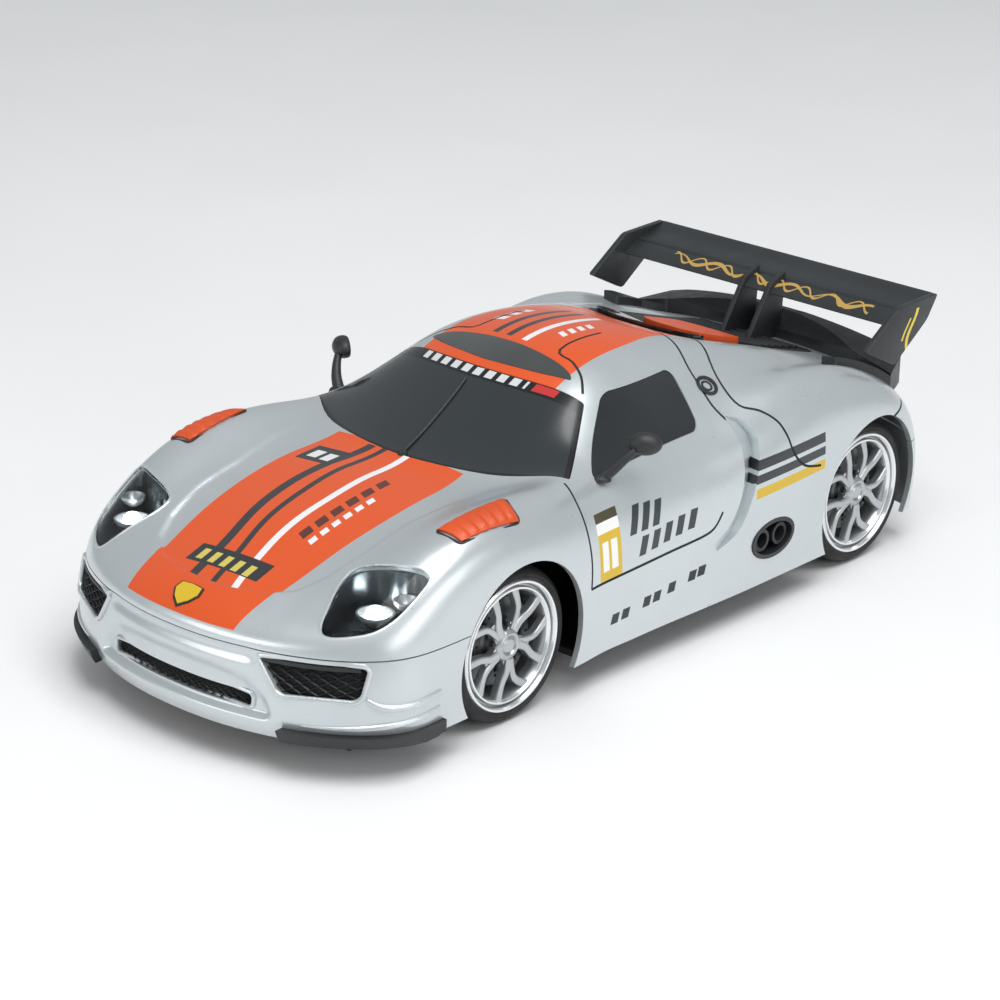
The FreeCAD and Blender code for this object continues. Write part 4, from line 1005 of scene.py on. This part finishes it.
# %% Grooves and scoop
SEAMS = [
    [(34.6, 48.8, 58.9), (35.4, 54, 57), (35.2, 58, 53), (34.6, 60.5, 45), (34.4, 61, 38),
     (34.8, 61, 31.5)],
    [(34.8, 61, 31.5), (20, 60.6, 31.5), (0, 60.6, 32), (-14, 61, 32.6), (-20, 61, 34),
     (-23.7, 60.8, 38)],
    [(6.6, 31.6, 74.2), (2.6, 27.5, 77.4), (0, 22, 79.6), (-2.2, 15.4, 81.2), (-21.4, 14.7, 82)],
    [(-52, 4, 74.6), (-43, 22.7, 76), (-37, 33.9, 73), (-35.2, 40.5, 68.5), (-34, 46.8, 64.3),
     (-34.8, 51.6, 61)],
    [(-58.2, 18.3, 71.6), (-47.4, 34.4, 71), (-42.7, 44.2, 66.3), (-42.2, 50.6, 63.2),
     (-46.6, 54.5, 61.6),
     (-50.5, 58.3, 58.4), (-52.7, 60.7, 54), (-55, 62, 48), (-60, 62.6, 43), (-68, 62.7, 40.9)],
    [(-117.4, 56, 47.5), (-112, 59.5, 46.4), (-107, 60.8, 45.6)],
]
SCOOP_START = [(-34.4, 51.6, 61), (-34.7, 55.6, 57.5), (-34.2, 58.6, 52.9), (-33.5, 60.4, 47.2),
               (-31.9, 61.1, 41.5), (-29.1, 61.2, 36), (-24.8, 61.1, 31.6), (-19.5, 60.7, 29.1)]
SCOOP_EDGE = [(-35.6, 50.8, 61.7), (-39.6, 54, 60.4), (-41.3, 58, 56.4), (-40.4, 60.1, 51.6),
              (-38.5, 61.4, 44.5), (-35.6, 61.7, 37.5), (-30.4, 61.5, 30.1), (-21.5, 60.9, 26.5)]
DEPTHS = [0.3, 2.2, 3.4, 3.8, 3.8, 3.4, 2.6, 0.6]


def groove(points, radius=0.42):
    """A thin tube sunk half-way into the skin: the tool for a seam."""
    return tube([on_skin(p) for p in through(points, steps=5)], radius)


def scoop(extra=0.0):
    """The wedge between the door's line and the fender's edge; extra widens it for the inner wall."""
    sections = []
    for start, edge, depth in zip(through(SCOOP_START, steps=5), through(SCOOP_EDGE, steps=5),
                                  through([(0, 0, d) for d in DEPTHS], steps=5)):
        spot, normal, index, gap = skin_tree.find_nearest(edge)
        begin = on_skin(start)
        sections.append([begin + normal * 1.6, spot + normal * 2.4 + Vector((-extra, 0, 0)),
                         spot - normal * (depth.z + extra) + Vector((-extra, 0, 0)),
                         begin - normal * (0.1 + extra)])
    return loft(sections)


grooves = []
for points in SEAMS:
    line = groove(points)
    grooves += [line, mirrored(line)]
scoop_tool, scoop_inside = scoop(), scoop(1.4)
print("grooves:", len(grooves))

# %% Cut the shell and its bumpers
AHEAD, BEHIND, WIDE = 150, -150, 80  # past the car on every side
FRONT_CUT, REAR_CUT = 60, -105  # where the bumpers meet the sills
outside = carved(solid_body(0, 4), [scoop_tool, mirrored(scoop_tool)])
hollow = carved(solid_body(WALL, 3, FLOOR - 2), [scoop_inside, mirrored(scoop_inside)])
painted = carved(outside, [hollow] + openings)
print("painted skin faces:", len(painted.faces))
shell = carved(painted, [slab((FRONT_CUT, -WIDE, 0), (AHEAD, WIDE, 34.6)),
                         slab((BEHIND, -WIDE, 0), (REAR_CUT, WIDE, 33.8))] + grooves)
front_bumper = carved(painted, [slab((FRONT_CUT + 0.05, -WIDE, 0), (AHEAD, WIDE, 34.25))],
                      "INTERSECT")
rear_bumper = carved(painted, [slab((BEHIND, -WIDE, 0), (REAR_CUT - 0.05, WIDE, 33.45))],
                     "INTERSECT")
rear_bumper = carved(rear_bumper, [slab((BEHIND, -38, 4), (-115, 38, 16))])
# The shell's grooves get the painted seam shade as a second material.
finished("painted_shell", shell, body_silver, "silver_body", ["body_shell"], from_skin=SHELL_REACH,
         groove_shade=seam_shadow)
finished("painted_front_bumper", front_bumper, body_silver, "silver_body", ["front_bumper"],
         from_skin=SHELL_REACH)
finished("painted_rear_bumper", rear_bumper, body_silver, "silver_body", ["rear_bumper"],
         from_skin=SHELL_REACH)

# %% [markdown]
# ## Windows and lamps
# Each pane is a slice of the same skin, cut with the opening's outline shrunk by a hair, so it
# follows the body's curve and leaves a thin dark gap. The roof lens, a smoky crescent behind the
# windscreen, is a thin slice that stands a little proud, and so is the shield on the nose.


# %% Panes cut from the skin
def slice_of_skin(tool, top, bottom, level=4):
    """The layer of the skin between two offsets (positive is outwards), inside the tool."""
    layer = carved(solid_body(-top, level), [tool], "INTERSECT")
    return carved(layer, [solid_body(-bottom, 3, FLOOR - 1)])


pane = slice_of_skin(windscreen(0.22), -0.12, -1.7)
finished("windscreen", pane, windscreen_dark, "smoked_window", ["windshield"], from_skin=PANE_REACH)
window = slice_of_skin(side_window(0.2), -0.25, -1.7)
lens = slice_of_skin(headlamp(0.15), -0.05, -1.2)
lamp = slice_of_skin(tail_lamp(0.15), 0.0, -1.6, 3)
for side, flip in SIDES:
    finished(f"door_window_{side}", flip(window), smoked_dark, "smoked_window",
             [f"side_window_{side}"], from_skin=PANE_REACH)
    finished(f"lamp_lens_{side}", flip(lens), lens_clear, "clear_lens",
             [f"headlamp_lens_{side}"], from_skin=PANE_REACH)
finished("tail_lamp_lenses", both(lamp), lamp_red, "red_lamp", ["tail_lamps"], from_skin=PANE_REACH)

crescent = through([(5.6, 26.4, 70), (7.6, 23.4, 70), (10.4, 15, 70), (12.2, 0, 70),
                    (10.4, -15, 70), (7.6, -23.4, 70), (5.6, -26.4, 70), (3.6, -20, 70),
                    (2.6, 0, 70), (3.6, 20, 70)], closed=True)
roof_lens = slice_of_skin(prism(crescent, (0, 0, 20)), 0.3, -0.4, 3)
finished("roof_lens", roof_lens, roof_dark, "smoked_window", from_skin=PANE_REACH)
SHIELD = [(128.4, -4.2, 30), (128.0, 0, 30), (128.4, 4.2, 30), (130.8, 4.8, 30), (133.2, 3.0, 30),
          (135.0, 0, 30), (133.2, -3.0, 30), (130.8, -4.8, 30)]
shield_back = slice_of_skin(prism(SHIELD, (0, 0, 30)), 0.3, -0.3)
finished("nose_shield_edge", shield_back, *BLACK, from_skin=PANE_REACH)
shield_face = slice_of_skin(prism(SHIELD, (0, 0, 30), 0, 0.6), 0.5, 0.1)
finished("nose_shield_face", shield_face, badge_yellow, "orange_trim", from_skin=PANE_REACH)

# %% [markdown]
# ## Lamp insides
# Behind each clear lens is a dark bowl with two round reflectors and a bright light source. A
# reflector is a short profile spun round an upright axis. The rim round the lamp opening is a thin
# bright bead.


# %% Reflectors and lamp beads
def spun(profile, centre=(0, 0, 0), axis="Z", steps=48):
    """A profile of (radius, height) points, turned once round an axis through centre."""
    bm = bmesh.new()
    verts = [bm.verts.new((radius, 0, height)) for radius, height in profile]
    edges = [bm.edges.new(pair) for pair in zip(verts, verts[1:])]
    bmesh.ops.spin(bm, geom=verts + edges, cent=(0, 0, 0), axis=(0, 0, 1), angle=math.tau,
                   steps=steps,
                   use_merge=True)
    bmesh.ops.remove_doubles(bm, verts=bm.verts, dist=0.0005)
    if axis == "Y":
        bmesh.ops.rotate(bm, matrix=Matrix.Rotation(math.radians(-90), 3, "X"), verts=bm.verts)
    bmesh.ops.translate(bm, vec=centre, verts=bm.verts)
    bmesh.ops.recalc_face_normals(bm, faces=bm.faces)
    return bm


big_cup = spun([(0, -0.6), (1.8, -0.4), (3.4, 0.6), (4.6, 2.4), (5.2, 2.4), (5.2, 1.6), (3.6, -0.4),
                (1.6, -1.4), (0, -1.5)], (107.2, 46.8, 40.4))
small_cup = spun([(0, -0.6), (1.4, -0.3), (2.4, 0.8), (3.0, 2.0), (3.5, 2.0), (3.5, 1.2),
                  (2.6, -0.2), (1.2, -1.2), (0, -1.3)], (101.5, 52.6, 44.5))
bulb = spun([(0, 3.0), (1.5, 2.6), (2.5, 1.5), (2.8, 0), (2.8, -1.5), (0, -1.5)],
            (107.2, 46.8, 41.6), steps=32)
cups = joined(big_cup, small_cup)
finished("lamp_reflectors", both(cups), rim_silver, "silver_rim")
finished("lamp_bulbs", both(bulb), lamp_lit, "led", ["headlamp_leds"])


lamp_ring = [down_on_skin(x, y) for x, y, z in through([(x, y, 0) for x, y in LAMP], closed=True)]
lamp_bead = tube([on_skin(p, -0.25) for p in lamp_ring], 0.5, 2, False, True)
finished("lamp_beads", both(lamp_bead), plain_silver, "silver_body")

# %% [markdown]
# ## Grilles
# The front openings hold a moulded mesh of diamonds. A grid of squares is turned and stretched to
# diamonds, pressed onto the skin from the front, and the wireframe operator turns its edges into
# bars. A solid bar closes the top. Round each opening runs a soft silver bead.


# %% Mesh grilles
def front_spot(y, z, lift):
    """The skin as seen from ahead, at a height and a distance from the middle."""
    spot, normal, index, gap = skin_tree.ray_cast(Vector((CLEAR, y, z)), Vector((-1, 0, 0)))
    return spot + normal * lift if spot else None


def mesh_grille(y_low, y_high, z_low, z_high, cell, thick, lift):
    bm = bmesh.new()
    count = round(max(y_high - y_low, z_high - z_low) / cell * 1.6)
    bmesh.ops.create_grid(bm, x_segments=count, y_segments=count, size=count * cell / 2)
    bmesh.ops.rotate(bm, matrix=Matrix.Rotation(math.radians(45), 3, "Z"), verts=bm.verts)
    bmesh.ops.scale(bm, vec=(1.35, 0.8, 1), verts=bm.verts)
    middle_y, middle_z = (y_low + y_high) / 2, (z_low + z_high) / 2
    far = [f for f in bm.faces
           if not (y_low < f.calc_center_median().x + middle_y < y_high
                   and z_low < f.calc_center_median().y + middle_z < z_high)]
    bmesh.ops.delete(bm, geom=far, context="FACES")
    for vert in bm.verts:
        vert.co = front_spot(vert.co.x + middle_y, vert.co.y + middle_z, lift)
    bmesh.ops.recalc_face_normals(bm, faces=bm.faces)
    bmesh.ops.wireframe(bm, faces=bm.faces, thickness=thick, offset=0, use_replace=True,
                        use_boundary=True,
                        use_even_offset=False, use_relative_offset=False, use_crease=False,
                        crease_weight=0,
                        material_offset=0)
    return bm


diamonds = mesh_grille(29.5, 55.5, 22.8, 33.4, 2.3, 0.8, -1.1)
grille_bar = tube([front_spot(y, 32.2, -0.6) for y in (30, 36, 42, 48, 53.6)], 0.75)
finished("mesh_grille_left", joined(diamonds, grille_bar), *BLACK)
finished("mesh_grille_right", mirrored(joined(diamonds, grille_bar)), *BLACK)
slot_mesh = mesh_grille(-26.5, 26.5, 16.2, 22.2, 1.5, 0.45, -1.0)
finished("mesh_grille_centre", slot_mesh, *BLACK)
# A near-black sheet behind the slot's mesh: black plastic and painted shade for the dark inside the
# opening.
slot_back = slice_of_skin(centre_slot(-1.5), -1.85, -2.8, 3)
finished("centre_slot_back", slot_back, backing_black_and_shade, "black_plastic", ["centre_grille"])


def ring_of(corners, radius, shrink):
    """The rounded outline of some corners, as a ring of points."""
    bm = outline(corners, radius, shrink)
    bm.faces.ensure_lookup_table()
    return [vert.co.copy() for vert in bm.faces[0].verts]


grille_ring = [front_spot(p.y, p.z, 0) for p in ring_of([(0, y, z) for y, z in GRILLE], 2.2, -0.5)]
slot_ring = [front_spot(p.y, p.z, 0) for p in ring_of([(0, y, z) for y, z in SLOT], 1.6, -0.6)]
grille_bead = tube(grille_ring, 0.75, 3, False, True)
slot_bead = tube(slot_ring, 0.7, 3, False, True)
finished("grille_beads", joined(both(grille_bead), slot_bead), plain_silver,
         "silver_body")

# %% [markdown]
# ## Small body pieces
# Louvred vents on the fenders, dive planes at the bumper corners, the wiper, the mirrors and the
# round cap on each rear pillar. Each is a small quilt, tube or turned shape laid on the skin.


# %% Fender vents
def vent_panel(lift, u_count, v_count, ribs, shrink=0.03):
    """A quilt over the vent's outline; louvres rise towards the nose and drop sharply."""
    bm = bmesh.new()
    bmesh.ops.create_grid(bm, x_segments=u_count, y_segments=v_count, size=1)
    corners = [Vector(c) for c in VENT]
    middle = sum(corners, Vector((0, 0))) / 4
    corners = [middle + (c - middle) * (1 - shrink) for c in corners]
    for vert in bm.verts:
        u, v = (vert.co.x + 1) / 2, (vert.co.y + 1) / 2
        spot = corners[0].lerp(corners[3], u).lerp(corners[1].lerp(corners[2], u), v)
        inside = min(1.0, min(v, 1 - v) * 7) * min(1.0, min(u, 1 - u) * 12)
        share = (u * ribs) % 1.0
        louvre = 0.5 * inside * (ease(share / 0.7) if share < 0.7 else ease((1 - share) / 0.3))
        vert.co = down_on_skin(spot.x, spot.y, lift + louvre)
    bmesh.ops.recalc_face_normals(bm, faces=bm.faces)
    bmesh.ops.solidify(bm, geom=bm.faces[:], thickness=0.6)
    return bm


louvres = vent_panel(0.15, 120, 16, 6.0)
vent_ring = [down_on_skin(p.x, p.y, 0.15) for p in ring_of([(x, y, 0) for x, y in VENT], 1.4, -0.5)]
vent_edge = tube(vent_ring, 0.34, 2, False, True)
for side, flip in SIDES:
    finished(f"fender_louvres_{side}", flip(louvres), orange_plastic, "orange_trim",
             [f"fender_vent_{side}"])
    finished(f"fender_vent_edge_{side}", flip(vent_edge), *BLACK)


# %% Dive planes, wiper and mirrors
def dive_plane(points, lift, radius, tip):
    """A bar on the skin that swells from its thin tips to its middle."""
    path = through(points, steps=5)
    swell = [tip + (1 - tip) * math.sin(math.pi * (i + 1) / (len(path) + 1)) for i in range(len(path))]
    return tube([on_skin(p, lift) for p in path], radius, 3, True, False, swell)


planes = joined(
    dive_plane([(119.4, 55.6, 24.4), (116.5, 58.6, 22.2), (110, 61.5, 21.6), (98.6, 62.5, 22.6)],
               0.2, 1.15, 0.3),
    dive_plane([(131, 42, 15.4), (124, 53, 15.8), (116, 60, 16.6), (107, 62.3, 17.4),
                (99, 62.4, 18.4)],
               0.05, 0.95, 0.25))
finished("bumper_dive_planes", both(planes), plain_silver, "silver_body")

WIPER = [(49, 2), (42, 1.6), (34, 1.1), (26, 0.4), (20.5, -0.4)]
blade_line = [down_on_skin(x, y, 0.25) for x, y in WIPER]
pivot = spun([(0, 1.2), (1.1, 1.0), (1.5, 0.2), (1.5, -0.8), (0, -0.8)], down_on_skin(49.2, 2.0),
             steps=24)
finished("wiper", joined(tube(through(blade_line, steps=5), 0.38), pivot), *BLACK)


def mirror():
    """A pod on a stalk: a ball is stretched, its back is cut flat and inset for the glass."""
    pod = bmesh.new()
    bmesh.ops.create_uvsphere(pod, u_segments=32, v_segments=20, radius=1)
    bmesh.ops.scale(pod, vec=(3.3, 5.0, 3.3), verts=pod.verts)
    flat = bmesh.ops.bisect_plane(pod, geom=pod.verts[:] + pod.edges[:] + pod.faces[:],
                                  plane_co=(-1.4, 0, 0), plane_no=(-1, 0, 0), clear_outer=True)
    rim = [edge for edge in flat["geom_cut"] if isinstance(edge, bmesh.types.BMEdge)]
    face = bmesh.ops.holes_fill(pod, edges=rim, sides=0)["faces"]
    bmesh.ops.inset_region(pod, faces=face, thickness=0.45, depth=-0.5)
    bmesh.ops.rotate(pod, matrix=Matrix.Rotation(math.radians(34), 3, "Z"), verts=pod.verts)
    bmesh.ops.translate(pod, vec=(11.0, 58.3, 67.6), verts=pod.verts)
    stalk_line = through([(20.4, 50.6, 57.6), (18.8, 53.4, 60.6), (16.6, 55.6, 63.6),
                          (14, 57.4, 66.2)], steps=5)
    stalk = tube(stalk_line, 1.9, 4, True, False, [1.0 - 0.035 * i for i in range(len(stalk_line))])
    foot = spun([(0, 1.2), (1.6, 1.1), (2.6, 0.4), (3.0, -0.6), (0, -1.0)],
                on_skin((20.6, 50.8, 58)), steps=32)
    return joined(pod, stalk, foot)


mirror_left = mirror()
finished("door_mirror_left", mirror_left.copy(), *BLACK, ["mirror_left"])
finished("door_mirror_right", mirrored(mirror_left), *BLACK, ["mirror_right"])

# %% Filler caps on the rear pillars
def seated(bm, spot, normal):
    """A shape made round Z, turned to stand on the skin."""
    bmesh.ops.rotate(bm, matrix=Vector((0, 0, 1)).rotation_difference(normal).to_matrix(),
                     verts=bm.verts)
    bmesh.ops.translate(bm, vec=spot, verts=bm.verts)
    return bm


cap_spot, cap_normal, index, gap = skin_tree.find_nearest(Vector((-37.7, 41.8, 68.3)))
ring = spun([(2.5, -0.8), (2.5, 0.35), (2.8, 0.7), (3.3, 0.7), (3.6, 0.35), (3.6, -0.8),
             (2.5, -0.8)])
button = spun([(0, -0.15), (1.1, -0.1), (1.3, 0.15), (1.8, 0.2), (2.1, -0.1), (2.2, -0.8),
               (0, -0.8)])
filler = seated(joined(ring, button), cap_spot, cap_normal)
finished("filler_caps", both(filler), *BLACK, ["pillar_caps"])

# %% [markdown]
# ## Wing
# The blade is one long section with a turned-up rear edge and a fold along it, pushed across the
# car. Its end plates and two struts are flat mouldings with softened edges. Gold strokes are
# printed on the blade and yellow ones on the plates.


# %% Wing blade, plates and struts
BLADE = [(-115, 70.6), (-118.4, 72.7), (-121.3, 73.7), (-121.8, 73.2), (-122.4, 74.2), (-125, 74.8),
         (-130, 75.6), (-134.5, 77.2), (-134.6, 76.4), (-128, 73.4), (-122, 71.4), (-117.5, 70.2)]
PLATE = [(-99, 66.5), (-115.5, 77), (-135.6, 77.3), (-130.5, 70), (-114.2, 58.9)]
STRUT = [(-100.5, 50), (-115.5, 73.5), (-123, 76), (-121, 50)]


def sharp_edges(bm):
    """Edges that turn by more than about 30 degrees."""
    return [edge for edge in bm.edges if len(edge.link_faces) == 2 and edge.calc_face_angle(0) > 0.5]


def softened(bm, width=0.35):
    """The shape with a small round on each of those edges."""
    bmesh.ops.bevel(bm, geom=sharp_edges(bm), offset=width, affect="EDGES", segments=2, profile=0.5,
                    material=-1, clamp_overlap=True)
    return bm


section = through([(x, 0, z) for x, z in BLADE], closed=True, steps=5)
blade = loft([[Vector((p.x, y, p.z)) for p in section] for y in (-53, -26, 0, 26, 53)])
finished("wing_blade_printed", blade, wing_ink, "black_plastic", ["wing_blade"])
end_plate = softened(prism([(x, 53, z) for x, z in PLATE], (0, 2, 0), 1.2))
for side, flip in SIDES:
    finished(f"wing_plate_{side}", flip(end_plate), plate_ink, "black_plastic",
             [f"wing_end_plate_{side}"])
strut = softened(prism([(x, 4.2, z) for x, z in STRUT], (0, 1.8, 0)), 0.3)
finished("wing_strut_pair", both(strut), *BLACK, ["wing_struts"])

# %% [markdown]
# ## Rear deck
# Between the two ridges behind the roof lies a black cover with a smoked hatch, a raised orange cap
# behind it, and cross louvres behind that.

# %% Engine deck
deck = slice_of_skin(engine_bay(0.2), 0.0, -1.7, 3)
finished("deck_cover", deck, *BLACK, ["engine_cover"], from_skin=PANE_REACH)
slats = []
for step in range(6):
    x = -97 - 3.1 * step
    half = 17 + 0.4 * step
    line = [down_on_skin(x, y, 0.3) for y in (-half, -half / 2, 0, half / 2, half)]
    slats.append(tube(line, 0.8))
finished("deck_slats", joined(*slats), *BLACK)
cap_line = through([(-72, -9, 60), (-72, 9, 60), (-80, 12.5, 60), (-94, 10, 60), (-94, -10, 60),
                    (-80, -12.5, 60)],
                   closed=True)
cap = slice_of_skin(prism(cap_line, (0, 0, 30)), 2.6, -0.4, 3)
finished("deck_cap", softened(cap, 0.5), orange_plastic, "orange_trim")
hatch_line = through([(-58.5, -17, 60), (-58.5, 17, 60), (-69.5, 14, 60), (-69.5, -14, 60)],
                     closed=True)
hatch = slice_of_skin(prism(hatch_line, (0, 0, 30)), 1.4, -0.4, 3)
finished("deck_hatch", softened(hatch, 0.4), smoked_dark, "smoked_window")

# %% [markdown]
# ## Wheels
# A rim is a turned barrel with a double bright edge, and five twin spokes that sweep like flames
# round a round cap. One arm is drawn as a strip along a curve, given thickness and softened edges,
# and then copied round the axle. Behind it sits a drilled disc. The tyre is a turned profile with
# rounded shoulders, a raised ring on its side wall and three grooves round its tread.


# %% Wheel parts
def arm(points, widths, low, high):
    """A strip along a line in the wheel's plane, extruded from low to high along the axle."""
    bm = bmesh.new()
    line = through([(x, z, 0) for x, z in points], steps=5)
    spread = through([(w, 0, 0) for w in widths], steps=5)
    left, right_side = [], []
    for i, (spot, wide) in enumerate(zip(line, spread)):
        ahead = line[min(i + 1, len(line) - 1)] - line[max(i - 1, 0)]
        across = Vector((-ahead.y, ahead.x, 0)).normalized() * wide.x / 2
        left.append(Vector((spot.x + across.x, low, spot.y + across.y)))
        right_side.append(Vector((spot.x - across.x, low, spot.y - across.y)))
    bm.faces.new([bm.verts.new(p) for p in left + right_side[::-1]])
    thickened(bm, (0, high - low, 0))
    upper_edges = [edge for edge in sharp_edges(bm)
                   if all(abs(v.co.y - high) < 0.01 for v in edge.verts)]
    bmesh.ops.bevel(bm, geom=upper_edges, offset=0.55, affect="EDGES", segments=3, profile=0.5,
                    material=-1, clamp_overlap=True)
    return bm


def ringed(part, count, start=0.0):
    """The part copied round the wheel's axle."""
    copies = []
    for i in range(count):
        copy = part.copy()
        bmesh.ops.rotate(copy, matrix=Matrix.Rotation(start + math.tau * i / count, 3, "Y"),
                         verts=copy.verts)
        copies.append(copy)
    return joined(*copies)


def polar(radius, degrees):
    return radius * math.cos(math.radians(degrees)), radius * math.sin(math.radians(degrees))


first_arm = arm([polar(4.0, -6), polar(7.5, 2), polar(11.5, 12), polar(16.6, 13)],
                [2.6, 2.4, 2.2, 2.6], 3.4, 5.9)
second_arm = arm([polar(4.4, -16), polar(7.5, -14), polar(11.5, -17), polar(16.6, -30)],
                 [2.2, 2.0, 2.0, 2.6], 3.2, 5.6)
web = arm([polar(3.5, -10), polar(6, -8), polar(9.4, -4)], [4.6, 3.6, 1.2], 2.8, 5.0)
spokes = ringed(joined(first_arm, second_arm, web), 5, 0.3)
hub = spun([(0, 6.0), (1.8, 5.9), (2.5, 5.3), (2.9, 5.9), (3.6, 6.1), (4.3, 5.6), (4.9, 4.2),
            (4.9, 1.0), (0, 1.0)], axis="Y")
nut = spun([(0, 5.6), (0.55, 5.6), (0.75, 5.3), (0.75, 4.0), (0, 4.0)], (6.1, 0, 0), "Y", 16)
nuts = ringed(nut, 5, -0.3)
barrel = spun([(15.2, 3.4), (15.9, 5.4), (16.4, 6.0), (16.9, 5.6), (17.0, 4.9), (17.5, 4.8),
               (17.7, 6.1), (18.1, 6.7), (18.7, 6.75), (19.0, 6.3), (18.6, 5.0), (18.0, 4.4),
               (16.6, 3.0), (16.4, -4.6), (18.2, -5.4), (19.0, -6.2), (19.0, -6.8), (18.0, -6.9),
               (16.0, -6.0), (15.4, -5), (15.2, 3.4)],
              axis="Y", steps=96)
edge_ring = spun([(17.75, 6.2), (18.1, 6.86), (18.7, 6.92), (19.05, 6.5), (18.9, 6.2),
                  (17.75, 6.2)],
                 axis="Y", steps=96)
inner_ring = spun([(15.7, 5.5), (16.2, 6.25), (16.7, 6.2), (16.9, 5.6), (15.7, 5.5)], axis="Y",
                  steps=96)
disc = spun([(4.5, -0.4), (12.6, -0.4), (13.0, -0.1), (13.0, 1.0), (12.6, 1.3), (7.4, 1.3),
             (6.8, 1.9), (4.5, 1.9), (4.5, -0.4)], axis="Y", steps=64)
holes = [round_bar(*polar(r, 18 * r), 0.8, 2.5, 0.5, 12) for r in (8.6, 10.2, 11.8)]
disc = carved(disc, [ringed(joined(*holes), 12)])
tyre = spun([(18.3, 5.4), (18.9, 6.5), (19.6, 6.95), (20.2, 6.75), (20.5, 6.9), (21.1, 6.6),
             (21.8, 6.0), (22.3, 5.0), (22.5, 3.9), (22.5, 2.9), (22.0, 2.75), (22.0, 2.25),
             (22.5, 2.1), (22.5, 0.4), (22.0, 0.25), (22.0, -0.25), (22.5, -0.4), (22.5, -2.1),
             (22.0, -2.25), (22.0, -2.75), (22.5, -2.9), (22.5, -3.9), (22.3, -5.0), (21.8, -6.0),
             (21.1, -6.6), (20.2, -6.75), (19.6, -6.95), (18.9, -6.5), (18.3, -5.4),
             (18.3, 5.4)], axis="Y", steps=128)
print("wheel parts ready")

# %% Place the wheels
WHEEL_Y = 50.5


def placed(part, x, side):
    """A wheel part moved to its axle's end; the right one is the left one's mirror image."""
    copy = part.copy()
    bmesh.ops.translate(copy, vec=(x, WHEEL_Y, AXLE_Z), verts=copy.verts)
    return copy if side == "left" else mirrored(copy)


for end, x in AXLES.items():
    for side in ("left", "right"):
        body = f"front_wheel_{side}" if end == "front" else "rear_axle"
        tag = f"{end}_{side}"
        finished(f"spoked_rim_{tag}", placed(joined(barrel, spokes, hub), x, side), rim_silver,
                 "silver_rim", [f"{end}_rim_{side}"], body)
        finished(f"rim_edge_{tag}", placed(joined(edge_ring, inner_ring), x, side), rim_bright,
                 "silver_rim", body=body)
        finished(f"wheel_nuts_{tag}", placed(nuts, x, side), *BLACK, body=body)
        finished(f"brake_disc_{tag}", placed(disc, x, side), disc_metal, "steel", body=body)
        finished(f"tread_tyre_{tag}", placed(tyre, x, side), rubber[end], "tyre_rubber",
                 [f"{end}_tyre_{side}"], body)

# %% [markdown]
# ## Pieces kept from the frame
# Everything under the shell keeps its CAD shape: the pan, the gearbox, the motor, the servo, the
# gears, the board and the cells. Only their finishes are new. Four hollow posts carry the shell on
# the pan.

# %% Finishes for the kept pieces
KEPT = {
    black_trim: ["splitter_left", "splitter_right", "ducktail", "rear_diffuser",
                 "side_exhaust_left", "side_exhaust_right", "power_switch_body",
                 "power_switch_knob"],
    # The grille backings are near-black: black plastic and painted shade seen through the mesh.
    backing_black_and_shade: ["side_grille_left", "side_grille_right"],
    bowl_smoky: ["headlamp_bowl_left", "headlamp_bowl_right"],
    chassis_black: ["chassis_pan", "battery_cover", "steering_servo", "steering_bridge"],
    grey_nylon: ["gearbox_lower", "gearbox_upper", "knuckle_left", "knuckle_right", "tie_rod",
                 "servo_arm"],
    gear_white: ["axle_gear", "compound_gear"],
    brass: ["axle_bearings", "motor_pinion"],
    steel: ["rear_shaft", "drive_motor", "body_screws"],
    board_green: ["circuit_board"],
    cell_wrap: ["battery_pack"],
}
for finish, nodes in KEPT.items():
    for node in nodes:
        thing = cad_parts[node]
        thing.data.materials.clear()
        thing.data.materials.append(finish)
print("kept pieces:", sum(len(nodes) for nodes in KEPT.values()))
posts = []
for x, y in ((103, 25), (103, -25), (-116, 30), (-116, -30)):
    top = down_on_skin(x, y).z - 2.2
    posts.append(spun([(1.3, 10), (3.2, 10), (3.2, top), (1.3, top), (1.3, 10)], (x, y, 0),
                      steps=32))
finished("body_posts", joined(*posts), plain_silver, "silver_body")

# %% [markdown]
# ## Floor and light
# The car stands on a wide pale floor under large soft lamps: one overhead, one low on its left and
# one low ahead of it, so that the silver shows long soft reflections with darker gaps between them.

# %% Stage and lamps
FLOOR_CORNERS = [(-4.8, -4.8, 0), (8, -4.8, 0), (8, 4.8, 0), (-4.8, 4.8, 0)]  # metres
g = Graph("pale_floor")
floor_white = g.set(Base_Color=g.mix(g.noise(3, 2.0), (0.86, 0.86, 0.86, 1), (0.9, 0.9, 0.9, 1)),
                    Roughness=g.noise(20, 2.0, 0.5, 0.6))
floor_mesh = bpy.data.meshes.new("floor")
floor_mesh.from_pydata(FLOOR_CORNERS, [], [(0, 1, 2, 3)])
floor_mesh.materials.append(floor_white)
floor = bpy.data.objects.new("floor", floor_mesh)
scene.collection.objects.link(floor)


def soft_lamp(name, place, power, width, height):
    data = bpy.data.lights.new(name, "AREA")
    data.shape, data.size, data.size_y, data.energy = "RECTANGLE", width, height, power
    lamp_object = bpy.data.objects.new(name, data)
    lamp_object.location = place
    aim = (Vector((0, 0, 0.03)) - Vector(place)).to_track_quat("-Z", "Y")
    lamp_object.rotation_euler = aim.to_euler()
    scene.collection.objects.link(lamp_object)


soft_lamp("overhead", (0.15, 0.4, 1.25), 14, 0.9, 0.9)
soft_lamp("left_side", (0.0, 1.5, 0.55), 5, 1.4, 0.5)
soft_lamp("front_side", (1.6, -0.5, 0.6), 5, 1.2, 0.5)
world = bpy.data.worlds.new("studio")
world.use_nodes = True
world.node_tree.nodes["Background"].inputs["Color"].default_value = (0.93, 0.97, 1, 1)
world.node_tree.nodes["Background"].inputs["Strength"].default_value = 0.42
scene.world = world
scene.view_settings.view_transform = "Standard"
